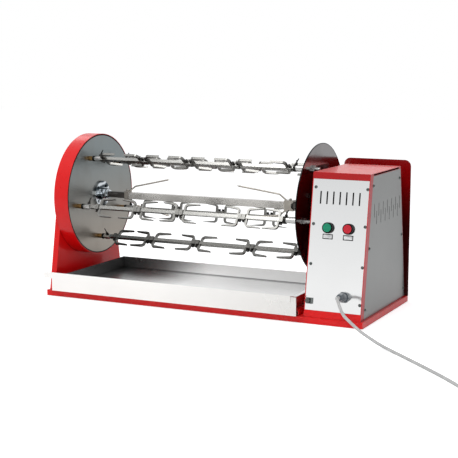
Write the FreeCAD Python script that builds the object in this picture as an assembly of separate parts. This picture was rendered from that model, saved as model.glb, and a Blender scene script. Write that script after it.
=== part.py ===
"""Motor-driven rotisserie: a carousel of five planet spits round a central beam.

Millimetres, +Z up. The origin is on the floor, under the middle of the base.
X runs along the base from the gear drum to the motor housing, -Y is the front.
"""
import FreeCAD, Part
import math
import os

Vec = FreeCAD.Vector
X_AXIS = Vec(1, 0, 0)
Z_AXIS = Vec(0, 0, 1)

# General clearances and stock
SHEET = 2.0
THIN_SHEET = 1.5
RUN_GAP = 0.3
SHAFT_GAP = 0.05
HOLE_GAP = 0.25
SMALL_BOLT = 5.0
BIG_BOLT = 8.0

# Base pan
BASE_LENGTH = 1000.0
BASE_DEPTH = 392.0
BASE_RIM = 17.0
FOOT_PROUD = 1.5
FOOT_RADIUS = 18.0
FOOT_FROM_STAND = 45.0
FOOT_INSET_Y = 42.0
DECK = FOOT_PROUD + BASE_RIM
BASE_FRONT = -BASE_DEPTH / 2
BASE_LEFT = -BASE_LENGTH / 2

# Carousel
AXIS_HEIGHT = 291.0
DISC_RADIUS = 181.5
DISC_SHEET = 3.0
DISC_SPACING = 726.0
LEFT_DISC_FACE = -427.5
RIGHT_DISC_FACE = LEFT_DISC_FACE + DISC_SPACING
SPIT_COUNT = 5
SPIT_PHASE = 118.5

# Gear trains
PLANET_MODULE = 4.0
SUN_TEETH = 45
PLANET_TEETH = 20
SPIT_CIRCLE = PLANET_MODULE * (SUN_TEETH + PLANET_TEETH) / 2
DRIVE_MODULE = 3.0
DRIVE_TEETH = 42
PINION_TEETH = 18
DRIVE_CENTRES = DRIVE_MODULE * (DRIVE_TEETH + PINION_TEETH) / 2
GEAR_WIDTH = 10.0
GEAR_BACKLASH = 0.3
PRESSURE_ANGLE = math.radians(20)

# Stand foot and gear drum
STAND_INSET = 7.0
STAND_CHANNEL = 18.0
STAND_HALF_WIDTH = 190.0
STAND_TOP_RADIUS = 140.0
DRUM_RIM_GAP = 1.5
DRUM_DEPTH = 47.5
DRUM_RADIUS = DISC_RADIUS + DRUM_RIM_GAP + SHEET
DRUM_BOLT_CIRCLE = 115.0
DRUM_BOLTS = 6
STAND_RIGHT = LEFT_DISC_FACE - DRUM_DEPTH
STAND_LEFT = STAND_RIGHT - STAND_CHANNEL

# Axles and hubs
JOURNAL = 25.0
HUB_RADIUS = 40.0
HUB_PLATE = 6.0
HUB_BOSS_RADIUS = 18.0
HUB_BOSS = 9.0
HUB_NUT_FLATS = 32.0
HUB_NUT = 11.0
HUB_COLLAR = 6.0
HUB_COLLAR_RADIUS = 13.0
AXLE_THREAD = 18.0
AXLE_THREAD_LENGTH = 32.0
AXLE_SQUARE = 17.0
AXLE_SQUARE_LENGTH = 26.5
AXLE_PLUG_LENGTH = 36.0
HUB_BOLT_CIRCLE = 30.0

# Bearings
BEARING_FLANGE = 92.0
BEARING_PLATE = 10.0
BEARING_BOSS_RADIUS = 28.0
BEARING_BOSS = 4.0
BEARING_BOLT_PITCH = 70.0

# Central beam and its sliding clamps
BEAM = 20.0
BEAM_WALL = 2.0
BEAM_START = LEFT_DISC_FACE + HUB_PLATE + HUB_BOSS + HUB_NUT + HUB_COLLAR + AXLE_THREAD_LENGTH + AXLE_SQUARE_LENGTH
BEAM_END = LEFT_DISC_FACE + RIGHT_DISC_FACE - BEAM_START
LEFT_CLAMP_SIZE = 26.0
LEFT_CLAMP_LENGTH = 12.0
RIGHT_CLAMP_SIZE = 30.0
RIGHT_CLAMP_LENGTH = 28.0
RIGHT_CLAMP_OVERHANG = 14.0
CLAMP_NOTCH = 6.0
CLAMP_SCREW_RADIUS = 3.5
CLAMP_SCREW = 5.0
PRONG_ROD = 5.0
PRONG_RISE = 18.0
PRONG_KNEE = 24.0
LEFT_PRONG_REACH = 142.0
LEFT_PRONG_TIP = 55.0
RIGHT_PRONG_REACH = 158.0
RIGHT_PRONG_TIP = 48.0

# Spits
SPIT_BAR = 10.0
BAR_FROM_LEFT_DISC = 29.0
BAR_FROM_RIGHT_DISC = 41.0
BAR_START = LEFT_DISC_FACE + BAR_FROM_LEFT_DISC
BAR_END = RIGHT_DISC_FACE - BAR_FROM_RIGHT_DISC
PLANET_SHAFT = 10.0
BUSH_RADIUS = 7.0
BUSH_FLANGE_RADIUS = 12.0
BUSH_FLANGE = 3.0
BUSH_NOSE = 14.0
RING_RADIUS = 8.5
RING_WIDTH = 6.0
NECK_RADIUS = 7.0
NECK_LENGTH = 7.0
CHUCK_RADIUS = 8.5
CHUCK_LENGTH = 15.0
TAIL_STUD = 10.0
TAIL_PIN = 8.0
TAIL_SLEEVE_RADIUS = 8.0
TAIL_SLEEVE_LENGTH = 38.0
TAIL_SOCKET = 14.0
TAIL_RING_RADIUS = 10.5
TAIL_STUD_INSET = 14.0
TAIL_PIN_LENGTH = 20.0
TAIL_NUT_FLATS = 17.0
TAIL_NUT = 7.0
TAIL_STUD_PROUD = 20.0

# Forks: three back-to-back pairs between two single forks on each bar
FORK_REACH = 29.0
FORK_PRONG = 48.0
FORK_TIP = 1.2
FORK_STRIP = 6.0
FORK_WIDTH = 7.0
FORK_BEND = 11.0
FORK_HUB = 16.0
FORK_HUB_WIDTH = 11.0
FORK_HUB_GAP = 1.0
FORK_KNOB_RADIUS = 4.0
FORK_KNOB = 6.0
WING_SPAN = 17.0
WING_HEIGHT = 11.0
WING_STEM_RADIUS = 2.5
WING_BODY_RADIUS = 4.5
WING_BODY = 5.0
WING_TOP = 28.0
WING_THICK = 2.5

# How each spit was left: the angle of its forks from +Y, the X of its first and last
# fork, the middles of its pairs, and the side of the bar that its fork knobs are on
SPITS = {
    "a": {"turn": 142.0, "first": -373.0, "pairs": (-234.0, -84.0, 66.0), "last": 228.0, "knob": 1},
    "b": {"turn": 60.0, "first": -353.0, "pairs": (-221.0, -82.0, 117.0), "last": 231.0, "knob": -1},
    "c": {"turn": 38.0, "first": -361.0, "pairs": (-243.0, -88.0, 92.0), "last": 231.0, "knob": -1},
    "d": {"turn": 80.0, "first": -346.0, "pairs": (-226.0, -72.0, 90.0), "last": 231.0, "knob": 1},
    "e": {"turn": 142.0, "first": -373.0, "pairs": (-247.0, -85.0, 62.0), "last": 230.0, "knob": 1},
}

# Drip tray and its rails
TRAY_FACE_LEFT = -480.0
TRAY_FACE_RIGHT = 311.0
TRAY_LEFT = -434.0
TRAY_RIGHT = 300.0
TRAY_BACK = 140.0
TRAY_BOTTOM = 35.0
TRAY_TOP = 72.0
TRAY_FACE_BOTTOM = 18.0
TRAY_FACE_GAP = 1.0
LIP_REACH = 40.0
LIP_RISE = 10.0
LIP_DROP = 18.0
RAIL_LEDGE = 22.0
RAIL_FOOT = 14.0
RAIL_WEB_GAP = 13.0
LEFT_RAIL_WEB_GAP = 4.0
RAIL_START = BASE_FRONT + 6.0
RAIL_BOLT_FRONT = 60.0
RAIL_BOLT_BACK = 25.0

# Motor housing
HOUSING_LEFT = 329.3
HOUSING_RIGHT = 492.0
HOUSING_TOP = 404.8
HOUSING_FRONT_FOOT = -189.6
HOUSING_FRONT_TOP = -128.2
HOUSING_BACK_FOOT = 190.0
HOUSING_BACK_TOP = 125.4
COVER_SHEET = 1.6
COVER_SEAM = 0.3
COVER_BOTTOM = 37.2
COVER_TOP = 387.3
COVER_LAP = 14.0
SIDE_MARGIN = 23.0
SIDE_TOP_GAP = 7.0
SIDE_BOTTOM_GAP = 1.5
SIDE_SLOT = 4.0
SLOT_WIDTH = 4.0
SLOT_HEIGHT = 34.5
SLOT_PITCH = 18.4
SLOT_COUNT = 7
SLOT_MIDDLE = 338.0
VENT_WIDTH = 3.0
VENT_HEIGHT = 36.0
VENT_PITCH = 35.9
VENT_COUNT = 7
VENT_MIDDLE_Y = 14.5
VENT_UPPER = 303.5
VENT_LOWER = 283.5
SCREW_HEAD_RADIUS = 4.5
SCREW_HEAD = 2.8
SCREW_SHANK = 4.0
SCREW_LENGTH = 8.0
SCREW_INSET_LEFT = 8.5
SCREW_INSET_RIGHT = 5.5
COVER_SCREW_HEIGHTS = (62.0, 160.5, 267.0, 365.0)
SIDE_SCREW_HEIGHTS = (45.0, 206.5, 372.0)
SIDE_SCREW_INSET = 6.5
SIDE_SCREW_BACK_INSET = 12.0
SHIELD_LEFT = 297.5
SHIELD_RIGHT = 501.2
SHIELD_TOP = 416.3
SHIELD_FRONT = 192.9
SHIELD_SHEET = 2.5
SHIELD_CORNER = 19.0
SPACER_RADIUS = 6.0
SPACER_HEIGHTS = (45.0, 375.0)
SPACER_INSET = 30.0

# Controls and cable entry on the front cover
BUTTON_HEIGHT = 258.5
BUTTON_SPACING = 58.0
BUTTONS_RIGHT = 1.35
BUTTONS_MIDDLE = (HOUSING_LEFT + HOUSING_RIGHT) / 2 + BUTTONS_RIGHT
START_X = BUTTONS_MIDDLE - BUTTON_SPACING / 2
STOP_X = BUTTONS_MIDDLE + BUTTON_SPACING / 2
BEZEL_RADIUS = 14.5
BEZEL_HEIGHT = 11.0
BEZEL_WALL = 2.6
BEZEL_TAIL_RADIUS = 11.0
BEZEL_TAIL = 12.0
CAP_PROUD = 4.5
CAP_THICK = 6.0
CAP_STEM_RADIUS = 4.0
CAP_TRAVEL = 3.5
CAP_DISH_RADIUS = 90.0
CAP_DISH = 0.8
CONTACT_BLOCK = 30.0
CONTACT_DEPTH = 24.0
LEGEND_WIDTH = 29.0
LEGEND_TALL = 14.0
LEGEND_THICK = 0.8
LEGEND_DROP = 23.5
GLAND_X = STOP_X
GLAND_HEIGHT = 79.0
GLAND_FLATS = 27.0
GLAND_HEX = 6.0
GLAND_BODY_RADIUS = 12.0
GLAND_BODY = 17.0
GLAND_NOSE_RADIUS = 8.5
GLAND_NOSE = 15.0
GLAND_TAIL_RADIUS = 10.0
GLAND_TAIL = 12.0
GLAND_NUT = 5.0
BOND_HEAD_RADIUS = 6.5
BOND_PLATE = 2.5
BOND_WIDTH = 16.0
BOND_LENGTH = 17.0

# Drive inside the housing
DRIVE_GEAR_X = 350.0
GEARBOX_X = 366.0
GEARBOX_LENGTH = 55.0
GEARBOX_HALF = 45.0
MOTOR_RADIUS = 44.0
MOTOR_FOOT = 90.0
MOTOR_FOOT_PLATE = 6.0
PINION_SHAFT = 14.0

# Mains lead
CORD = 8.0
CORD_EXIT_RUN = 23.0
COIL_RADIUS = 52.0
COIL_TURNS_PER_LAYER = 1.75
COIL_STEP = 8.6
COIL_TAIL = 24.0
PLUG_RADIUS = 18.5
PLUG_FACE = 12.0
PLUG_GRIP = 30.0
PLUG_GRIP_RADIUS = 12.0
PLUG_BOOT = 22.0
PLUG_PIN_RADIUS = 2.4
PLUG_PIN = 19.0
PLUG_PIN_PITCH = 19.0


def box(x0, x1, y0, y1, z0, z1):
    return Part.makeBox(x1 - x0, y1 - y0, z1 - z0, Vec(x0, y0, z0))


def rod(x0, x1, radius, y=0.0, z=AXIS_HEIGHT):
    """A cylinder along X."""
    return Part.makeCylinder(radius, x1 - x0, Vec(x0, y, z), X_AXIS)


def post(z0, z1, radius, x, y):
    """A cylinder along Z."""
    return Part.makeCylinder(radius, z1 - z0, Vec(x, y, z0), Z_AXIS)


def hexagon(flats, length):
    """A hexagonal bar from the origin along Z."""
    reach = flats / math.sqrt(3)
    corners = [Vec(reach * math.cos(math.radians(60 * k)), reach * math.sin(math.radians(60 * k)), 0)
               for k in range(7)]
    return Part.Face(Part.makePolygon(corners)).extrude(Vec(0, 0, length))


def along_x(shape, x, y=0.0, z=AXIS_HEIGHT, turn=0.0):
    """Place a shape made along +Z so that it runs along +X from (x, y, z)."""
    spin = FreeCAD.Rotation(X_AXIS, turn)
    lay = FreeCAD.Rotation(Vec(0, 1, 0), 90)
    moved = shape.copy()
    moved.Placement = FreeCAD.Placement(Vec(x, y, z), spin.multiply(lay)).multiply(shape.Placement)
    return moved


def square_bar(x0, x1, side, y=0.0, z=AXIS_HEIGHT, turn=0.0):
    bar = box(x0, x1, y - side / 2, y + side / 2, z - side / 2, z + side / 2)
    bar.rotate(Vec(0, y, z), X_AXIS, turn)
    return bar


def outline_yz(points, x0, x1):
    """Extrude a closed outline of (y, z) points along X."""
    corners = [Vec(x0, y, z) for y, z in points]
    face = Part.Face(Part.makePolygon(corners + corners[:1]))
    return face.extrude(Vec(x1 - x0, 0, 0))


def export(name, *solids):
    shape = solids[0] if len(solids) == 1 else Part.makeCompound(list(solids))
    shape.exportStep("parts/" + name + ".step")


def involute(base, radius):
    """Angle by which an involute has turned when it reaches a radius."""
    if radius <= base:
        return 0.0
    pressure = math.acos(base / radius)
    return math.tan(pressure) - pressure


def gear(module, teeth, width, first_tooth, bore):
    """A spur gear along +X from the origin, its first tooth at an angle from +Y."""
    pitch = module * teeth / 2
    base = pitch * math.cos(PRESSURE_ANGLE)
    tip = pitch + module
    root = pitch - 1.25 * module
    half_pitch = math.pi / (2 * teeth) - GEAR_BACKLASH / (4 * pitch)
    half_base = half_pitch + involute(base, pitch)
    radii = [root, max(base, root), pitch, tip]
    points = []
    for tooth in range(teeth):
        middle = math.radians(first_tooth) + 2 * math.pi * tooth / teeth
        flank = [(r, half_base - involute(base, r)) for r in radii]
        for r, half in flank:
            points.append((r * math.cos(middle - half), r * math.sin(middle - half)))
        for r, half in reversed(flank):
            points.append((r * math.cos(middle + half), r * math.sin(middle + half)))
    return outline_yz(points, 0, width).cut(rod(-1, width + 1, bore, z=0))


def planet_phase(direction):
    """First-tooth angle of a planet that meshes with the sun in a direction."""
    sun_share = direction * SUN_TEETH / 360
    return direction + 180 - (0.5 - sun_share) * 360 / PLANET_TEETH


def spit_place(index):
    """Direction, Y and Z of one spit's axis."""
    direction = SPIT_PHASE + 360 / SPIT_COUNT * index
    y = SPIT_CIRCLE * math.cos(math.radians(direction))
    z = AXIS_HEIGHT + SPIT_CIRCLE * math.sin(math.radians(direction))
    return direction, y, z


def ring_of_points(count, radius, first=0.0):
    """(y, z) points evenly spaced round the carousel axis."""
    return [(radius * math.cos(math.radians(first + 360 * k / count)),
             AXIS_HEIGHT + radius * math.sin(math.radians(first + 360 * k / count)))
            for k in range(count)]


def bearing_bolt_points():
    half = BEARING_BOLT_PITCH / 2
    return [(y, AXIS_HEIGHT + z) for y in (-half, half) for z in (-half, half)]


# Front cover plane: x stays, s runs up the slope from the deck, n stands out of it
LEAN = math.atan2(HOUSING_FRONT_TOP - HOUSING_FRONT_FOOT, HOUSING_TOP - DECK)
BACK_LEAN = math.atan2(HOUSING_BACK_FOOT - HOUSING_BACK_TOP, HOUSING_TOP - DECK)
FRONT_TURN = FreeCAD.Rotation(X_AXIS, 90 - math.degrees(LEAN))


def slope(height):
    """Distance up the front slope at which the plane reaches a height."""
    return (height - DECK) / math.cos(LEAN)


def front_y(height, offset=0.0):
    """Y of the front plane moved back by an offset, at a height."""
    return HOUSING_FRONT_FOOT + (height - DECK) * math.tan(LEAN) + offset / math.cos(LEAN)


def back_y(height, offset=0.0):
    return HOUSING_BACK_FOOT - (height - DECK) * math.tan(BACK_LEAN) - offset / math.cos(BACK_LEAN)


def on_front(shape, x, height):
    """Place a shape made along +Z so that it stands out of the front cover's face."""
    moved = shape.copy()
    moved.Placement = FreeCAD.Placement(Vec(x, front_y(height), height), FRONT_TURN).multiply(shape.Placement)
    return moved


def front_hole(x, height, radius, depth):
    return on_front(Part.makeCylinder(radius, 2 * depth, Vec(0, 0, -depth)), x, height)


# Base
def base_pan():
    """The deck sheet, and four rim strips welded under its edges."""
    deck = box(BASE_LEFT, -BASE_LEFT, BASE_FRONT, -BASE_FRONT, DECK - SHEET, DECK)
    holes = [post(0, DECK + 1, SMALL_BOLT / 2 + HOLE_GAP, x, y) for x, y in deck_bolt_points()]
    low = FOOT_PROUD
    high = DECK - SHEET
    inner = BASE_FRONT + SHEET
    rims = [
        box(BASE_LEFT, -BASE_LEFT, BASE_FRONT, inner, low, high),
        box(BASE_LEFT, -BASE_LEFT, -inner, -BASE_FRONT, low, high),
        box(BASE_LEFT, BASE_LEFT + SHEET, inner, -inner, low, high),
        box(-BASE_LEFT - SHEET, -BASE_LEFT, inner, -inner, low, high),
    ]
    return [deck.cut(Part.makeCompound(holes))] + rims


def foot_points():
    """Three pairs clear of the stand's bolts, and one foot in the middle of the pan."""
    far_x = -STAND_RIGHT - FOOT_FROM_STAND
    far_y = BASE_DEPTH / 2 - FOOT_INSET_Y
    pairs = [(x, y) for x in (-far_x, 0.0, far_x) for y in (-far_y, far_y)]
    return pairs + [(0.0, 0.0)]


def rubber_feet():
    return [post(0, DECK - SHEET, FOOT_RADIUS, x, y) for x, y in foot_points()]


# Drip tray
def tray_rail(web_x, inward):
    """Z-angle: a foot on the deck, a web, and a ledge that the tray slides on."""
    top = TRAY_BOTTOM - RUN_GAP
    start = RAIL_START
    end = TRAY_BACK
    spans = [
        sorted((web_x, web_x - inward * RAIL_FOOT)) + [DECK, DECK + SHEET],
        sorted((web_x, web_x + inward * SHEET)) + [DECK, top],
        sorted((web_x, web_x + inward * RAIL_LEDGE)) + [top - SHEET, top],
    ]
    rail = box(spans[0][0], spans[0][1], start, end, spans[0][2], spans[0][3])
    for x0, x1, z0, z1 in spans[1:]:
        rail = rail.fuse(box(x0, x1, start, end, z0, z1))
    return rail.removeSplitter()


LEFT_WEB = TRAY_LEFT - LEFT_RAIL_WEB_GAP
RIGHT_WEB = TRAY_RIGHT + RAIL_WEB_GAP + SHEET


def rail_bolt_points():
    xs = (LEFT_WEB - RAIL_FOOT / 2, RIGHT_WEB + RAIL_FOOT / 2)
    ys = (RAIL_START + RAIL_BOLT_FRONT, TRAY_BACK - RAIL_BOLT_BACK)
    return [(x, y) for x in xs for y in ys]


def tray_rails():
    rails = [tray_rail(LEFT_WEB, 1), tray_rail(RIGHT_WEB, -1)]
    holes = Part.makeCompound([post(0, DECK + SHEET + 1, SMALL_BOLT / 2 + HOLE_GAP, x, y)
                               for x, y in rail_bolt_points()])
    return [rail.cut(holes) for rail in rails]


def drip_tray():
    t = THIN_SHEET
    face_back = BASE_FRONT - TRAY_FACE_GAP
    face_front = face_back - t
    tub = box(TRAY_LEFT, TRAY_RIGHT, face_front, TRAY_BACK, TRAY_BOTTOM, TRAY_TOP)
    tub = tub.cut(box(TRAY_LEFT + t, TRAY_RIGHT - t, face_back, TRAY_BACK - t, TRAY_BOTTOM + t, TRAY_TOP + 1))
    face = box(TRAY_FACE_LEFT, TRAY_FACE_RIGHT, face_front, face_back, TRAY_FACE_BOTTOM, TRAY_TOP)
    hem_top = box(TRAY_RIGHT - t, TRAY_FACE_RIGHT, face_back, TRAY_BACK, TRAY_TOP - t, TRAY_TOP)
    hem_drop = box(TRAY_FACE_RIGHT - t, TRAY_FACE_RIGHT, face_back, TRAY_BACK, TRAY_TOP - LIP_DROP, TRAY_TOP)
    grip = [
        (face_back, TRAY_TOP - t),
        (face_back, TRAY_TOP),
        (face_front, TRAY_TOP),
        (face_front - LIP_REACH, TRAY_TOP + LIP_RISE),
        (face_front - LIP_REACH, TRAY_TOP + LIP_RISE - LIP_DROP),
        (face_front - LIP_REACH + t, TRAY_TOP + LIP_RISE - LIP_DROP),
        (face_front - LIP_REACH + t, TRAY_TOP + LIP_RISE - 1.4 * t),
        (face_front, TRAY_TOP - t),
    ]
    lip = outline_yz(grip, TRAY_FACE_LEFT, TRAY_FACE_RIGHT)
    return tub.fuse([face, hem_top, hem_drop, lip]).removeSplitter()


# Stand
def tombstone(shrink, x0, x1):
    """The stand's outline: sloping sides that run tangent into a round top."""
    rise = AXIS_HEIGHT - DECK
    distance = math.hypot(STAND_HALF_WIDTH, rise)
    lean = math.atan2(rise, STAND_HALF_WIDTH) + math.asin(STAND_TOP_RADIUS / distance)
    radius = STAND_TOP_RADIUS - shrink
    touch_y = radius * math.sin(lean)
    touch_z = AXIS_HEIGHT + radius * math.cos(lean)
    foot_z = DECK + shrink
    foot_y = touch_y + (touch_z - foot_z) / math.tan(lean)
    edges = [
        Part.LineSegment(Vec(x0, touch_y, touch_z), Vec(x0, foot_y, foot_z)).toShape(),
        Part.LineSegment(Vec(x0, foot_y, foot_z), Vec(x0, -foot_y, foot_z)).toShape(),
        Part.LineSegment(Vec(x0, -foot_y, foot_z), Vec(x0, -touch_y, touch_z)).toShape(),
        Part.Arc(Vec(x0, -touch_y, touch_z), Vec(x0, 0, AXIS_HEIGHT + radius), Vec(x0, touch_y, touch_z)).toShape(),
    ]
    return Part.Face(Part.Wire(edges)).extrude(Vec(x1 - x0, 0, 0))


def stand_bolt_points():
    x = (STAND_LEFT + STAND_RIGHT - SHEET) / 2
    return [(x, y) for y in (-STAND_HALF_WIDTH + 40, STAND_HALF_WIDTH - 40)]


def through_holes(points, x0, x1, radius):
    return Part.makeCompound([rod(x0, x1, radius, y, z) for y, z in points])


def stand_foot():
    shell = tombstone(0, STAND_LEFT, STAND_RIGHT)
    shell = shell.cut(tombstone(SHEET, STAND_LEFT - 1, STAND_RIGHT - SHEET))
    shell = shell.cut(rod(STAND_LEFT - 1, STAND_RIGHT + 1, JOURNAL / 2 + 2))
    shell = shell.cut(through_holes(bearing_bolt_points(), STAND_LEFT, STAND_RIGHT + 1, BIG_BOLT / 2 + HOLE_GAP))
    drum_bolts = ring_of_points(DRUM_BOLTS, DRUM_BOLT_CIRCLE)
    shell = shell.cut(through_holes(drum_bolts, STAND_LEFT, STAND_RIGHT + 1, SMALL_BOLT / 2 + HOLE_GAP))
    posts = [post(0, DECK + SHEET + 1, SMALL_BOLT / 2 + HOLE_GAP, x, y) for x, y in stand_bolt_points()]
    return shell.cut(Part.makeCompound(posts))


def gear_drum():
    drum = rod(STAND_RIGHT, LEFT_DISC_FACE, DRUM_RADIUS)
    drum = drum.cut(rod(STAND_RIGHT + SHEET, LEFT_DISC_FACE + 1, DRUM_RADIUS - SHEET))
    drum = drum.cut(rod(STAND_RIGHT - 1, LEFT_DISC_FACE, JOURNAL / 2 + 2))
    drum = drum.cut(through_holes(bearing_bolt_points(), STAND_RIGHT - 1, LEFT_DISC_FACE, BIG_BOLT / 2 + HOLE_GAP))
    bolts = ring_of_points(DRUM_BOLTS, DRUM_BOLT_CIRCLE)
    return drum.cut(through_holes(bolts, STAND_RIGHT - 1, LEFT_DISC_FACE, SMALL_BOLT / 2 + HOLE_GAP))


SUN_X = STAND_RIGHT + 19.0
SUN_BORE = 60.0
SUN_BOSS_RADIUS = 7.0
SUN_BOSS_CIRCLE = 72.0
SUN_BOSSES = 4


def sun_gear():
    wheel = gear(PLANET_MODULE, SUN_TEETH, GEAR_WIDTH, 0, SUN_BORE)
    wheel.translate(Vec(SUN_X, 0, AXIS_HEIGHT))
    bosses = [rod(STAND_RIGHT + SHEET, SUN_X + 1, SUN_BOSS_RADIUS, y, z)
              for y, z in ring_of_points(SUN_BOSSES, SUN_BOSS_CIRCLE, 45)]
    return wheel.fuse(bosses)


def flange_bearing(x, facing):
    """A square flange and a round boss with a bore; the boss points along facing."""
    half = BEARING_FLANGE / 2
    x0, x1 = sorted((x, x + facing * BEARING_PLATE))
    body = box(x0, x1, -half, half, AXIS_HEIGHT - half, AXIS_HEIGHT + half)
    b0, b1 = sorted((x, x + facing * (BEARING_PLATE + BEARING_BOSS)))
    body = body.fuse(rod(b0, b1, BEARING_BOSS_RADIUS))
    body = body.cut(rod(b0 - 1, b1 + 1, JOURNAL / 2 + SHAFT_GAP))
    return body.cut(through_holes(bearing_bolt_points(), b0 - 1, b1 + 1, BIG_BOLT / 2 + HOLE_GAP))


def hex_bolt_x(x_head, x_end, diameter, y, z):
    """A bolt along X with a hexagonal head outside x_head and a nut outside x_end."""
    head = 0.65 * diameter
    flats = 1.6 * diameter
    low, high = sorted((x_head, x_end))
    shank = rod(low - head * 1.2, high + head * 1.2, diameter / 2, y, z)
    ends = [along_x(hexagon(flats, head), low - head, y, z), along_x(hexagon(flats, head), high, y, z)]
    return shank.fuse(ends)


def hex_bolt_z(z_low, z_high, diameter, x, y):
    head = 0.65 * diameter
    flats = 1.6 * diameter
    bolt = post(z_low - head, z_high + head, diameter / 2, x, y)
    for z in (z_low - head, z_high):
        end = hexagon(flats, head)
        end.translate(Vec(x, y, z))
        bolt = bolt.fuse(end)
    return bolt


def housing_bolt_points():
    inset = 2 * SHEET + 7
    xs = (HOUSING_LEFT + inset, HOUSING_RIGHT - inset - 2)
    ys = (HOUSING_FRONT_FOOT + 30, HOUSING_BACK_FOOT - 30)
    return [(x, y) for x in xs for y in ys]


def deck_bolt_points():
    return rail_bolt_points() + stand_bolt_points() + housing_bolt_points()


def frame_bolts():
    bolts = [hex_bolt_x(STAND_RIGHT - SHEET - BEARING_PLATE, STAND_RIGHT + SHEET, BIG_BOLT, y, z)
             for y, z in bearing_bolt_points()]
    bolts += [hex_bolt_x(HOUSING_LEFT, HOUSING_LEFT + SHEET + BEARING_PLATE, BIG_BOLT, y, z)
              for y, z in bearing_bolt_points()]
    bolts += [hex_bolt_x(STAND_RIGHT - SHEET, STAND_RIGHT + SHEET, SMALL_BOLT, y, z)
              for y, z in ring_of_points(DRUM_BOLTS, DRUM_BOLT_CIRCLE)]
    bolts += [hex_bolt_z(DECK - SHEET, DECK + SHEET, SMALL_BOLT, x, y) for x, y in deck_bolt_points()]
    return bolts


# Motor housing
def housing_prism(front, back, left, right, top, bottom):
    """The housing's sloping prism with each face moved inwards by a distance."""
    low = DECK + bottom
    high = HOUSING_TOP - top
    points = [
        (front_y(low, front), low),
        (front_y(high, front), high),
        (back_y(high, back), high),
        (back_y(low, back), low),
    ]
    return outline_yz(points, HOUSING_LEFT + left, HOUSING_RIGHT - right)


def cover_blank(inset, depth, proud=0.0):
    """The front cover's plate shrunk by an inset, from proud of the face down to a depth."""
    low = slope(COVER_BOTTOM) + inset
    high = slope(COVER_TOP) - inset
    left = HOUSING_LEFT + SHEET + inset
    right = HOUSING_RIGHT - THIN_SHEET - inset
    plate = Part.makeBox(right - left, high - low, depth + proud, Vec(left, low, -depth))
    plate.Placement = FreeCAD.Placement(Vec(0, front_y(DECK), DECK), FRONT_TURN).multiply(plate.Placement)
    return plate


def side_blank(inset, depth, proud=0.0):
    """The side cover's plate shrunk by an inset."""
    low = DECK + SIDE_BOTTOM_GAP + inset
    high = HOUSING_TOP - SIDE_TOP_GAP - inset
    front = SIDE_MARGIN + inset
    back = SHEET + inset
    points = [
        (front_y(low, front), low),
        (front_y(high, front), high),
        (back_y(high, back), high),
        (back_y(low, back), low),
    ]
    return outline_yz(points, HOUSING_RIGHT - depth, HOUSING_RIGHT + proud)


def front_screw_places():
    left = HOUSING_LEFT + SHEET + SCREW_INSET_LEFT
    right = HOUSING_RIGHT - SCREW_INSET_RIGHT
    places = [(left, height) for height in COVER_SCREW_HEIGHTS[1:]]
    return places + [(right, height) for height in COVER_SCREW_HEIGHTS]


def bond_place():
    return HOUSING_LEFT + SHEET + SCREW_INSET_LEFT, COVER_SCREW_HEIGHTS[0]


def side_screw_places():
    front = [(front_y(z, SIDE_MARGIN + SIDE_SCREW_INSET), z) for z in SIDE_SCREW_HEIGHTS]
    back = [(back_y(z, SIDE_SCREW_BACK_INSET), z) for z in SIDE_SCREW_HEIGHTS]
    return front + back


def front_drillings(gap):
    """Holes through the front cover and its flange, with a radial gap round each shank."""
    deep = SCREW_LENGTH + 1
    holes = [front_hole(x, z, SCREW_SHANK / 2 + gap, deep) for x, z in front_screw_places()]
    x, z = bond_place()
    return holes + [front_hole(x, z, SCREW_SHANK / 2 + gap, deep)]


def side_drillings(gap):
    return [rod(HOUSING_RIGHT - 3 * SHEET - 1, HOUSING_RIGHT + 1, SCREW_SHANK / 2 + gap, y, z)
            for y, z in side_screw_places()]


def spacer_points():
    xs = (HOUSING_LEFT + SPACER_INSET, HOUSING_RIGHT - SPACER_INSET)
    return [(x, z) for x in xs for z in SPACER_HEIGHTS]


def y_rod(y0, y1, radius, x, z):
    return Part.makeCylinder(radius, y1 - y0, Vec(x, y0, z), Vec(0, 1, 0))


def housing_body():
    wall = COVER_SHEET + SHEET
    body = housing_prism(0, 0, 0, 0, 0, 0)
    body = body.cut(housing_prism(wall, SHEET, SHEET, wall, SHEET, -1))
    ledge = housing_prism(wall, SHEET, SHEET, wall, HOUSING_TOP - DECK - SHEET, 0)
    hollow = COVER_LAP + SHEET
    ledge = ledge.cut(housing_prism(wall + hollow, SHEET + hollow, SHEET + hollow, wall + hollow, 0, -1))
    body = body.fuse(ledge)
    body = body.cut(cover_blank(0, COVER_SHEET, 1)).cut(cover_blank(COVER_LAP, wall + 1, 1))
    body = body.cut(side_blank(0, COVER_SHEET, 1)).cut(side_blank(COVER_LAP, wall + 1, 1))
    drillings = front_drillings(HOLE_GAP) + side_drillings(HOLE_GAP)
    slot_top = HOUSING_TOP - SHEET
    slot_front = front_y(HOUSING_TOP, SIDE_MARGIN)
    slot_back = back_y(HOUSING_TOP, COVER_LAP)
    drillings += [box(HOUSING_RIGHT - wall - 1, HOUSING_RIGHT + 1, slot_front, slot_back, slot_top - SIDE_SLOT, slot_top)]
    drillings += [rod(HOUSING_LEFT - 1, HOUSING_LEFT + SHEET + 1, JOURNAL / 2 + 2)]
    drillings += [rod(HOUSING_LEFT - 1, HOUSING_LEFT + SHEET + 1, BIG_BOLT / 2 + HOLE_GAP, y, z)
                  for y, z in bearing_bolt_points()]
    drillings += [post(DECK - 1, DECK + SHEET + 1, SMALL_BOLT / 2 + HOLE_GAP, x, y)
                  for x, y in housing_bolt_points()]
    drillings += [y_rod(HOUSING_BACK_TOP - 10, SHIELD_FRONT, SMALL_BOLT / 2 + HOLE_GAP, x, z)
                  for x, z in spacer_points()]
    return body.cut(Part.makeCompound(drillings)).removeSplitter()


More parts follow.
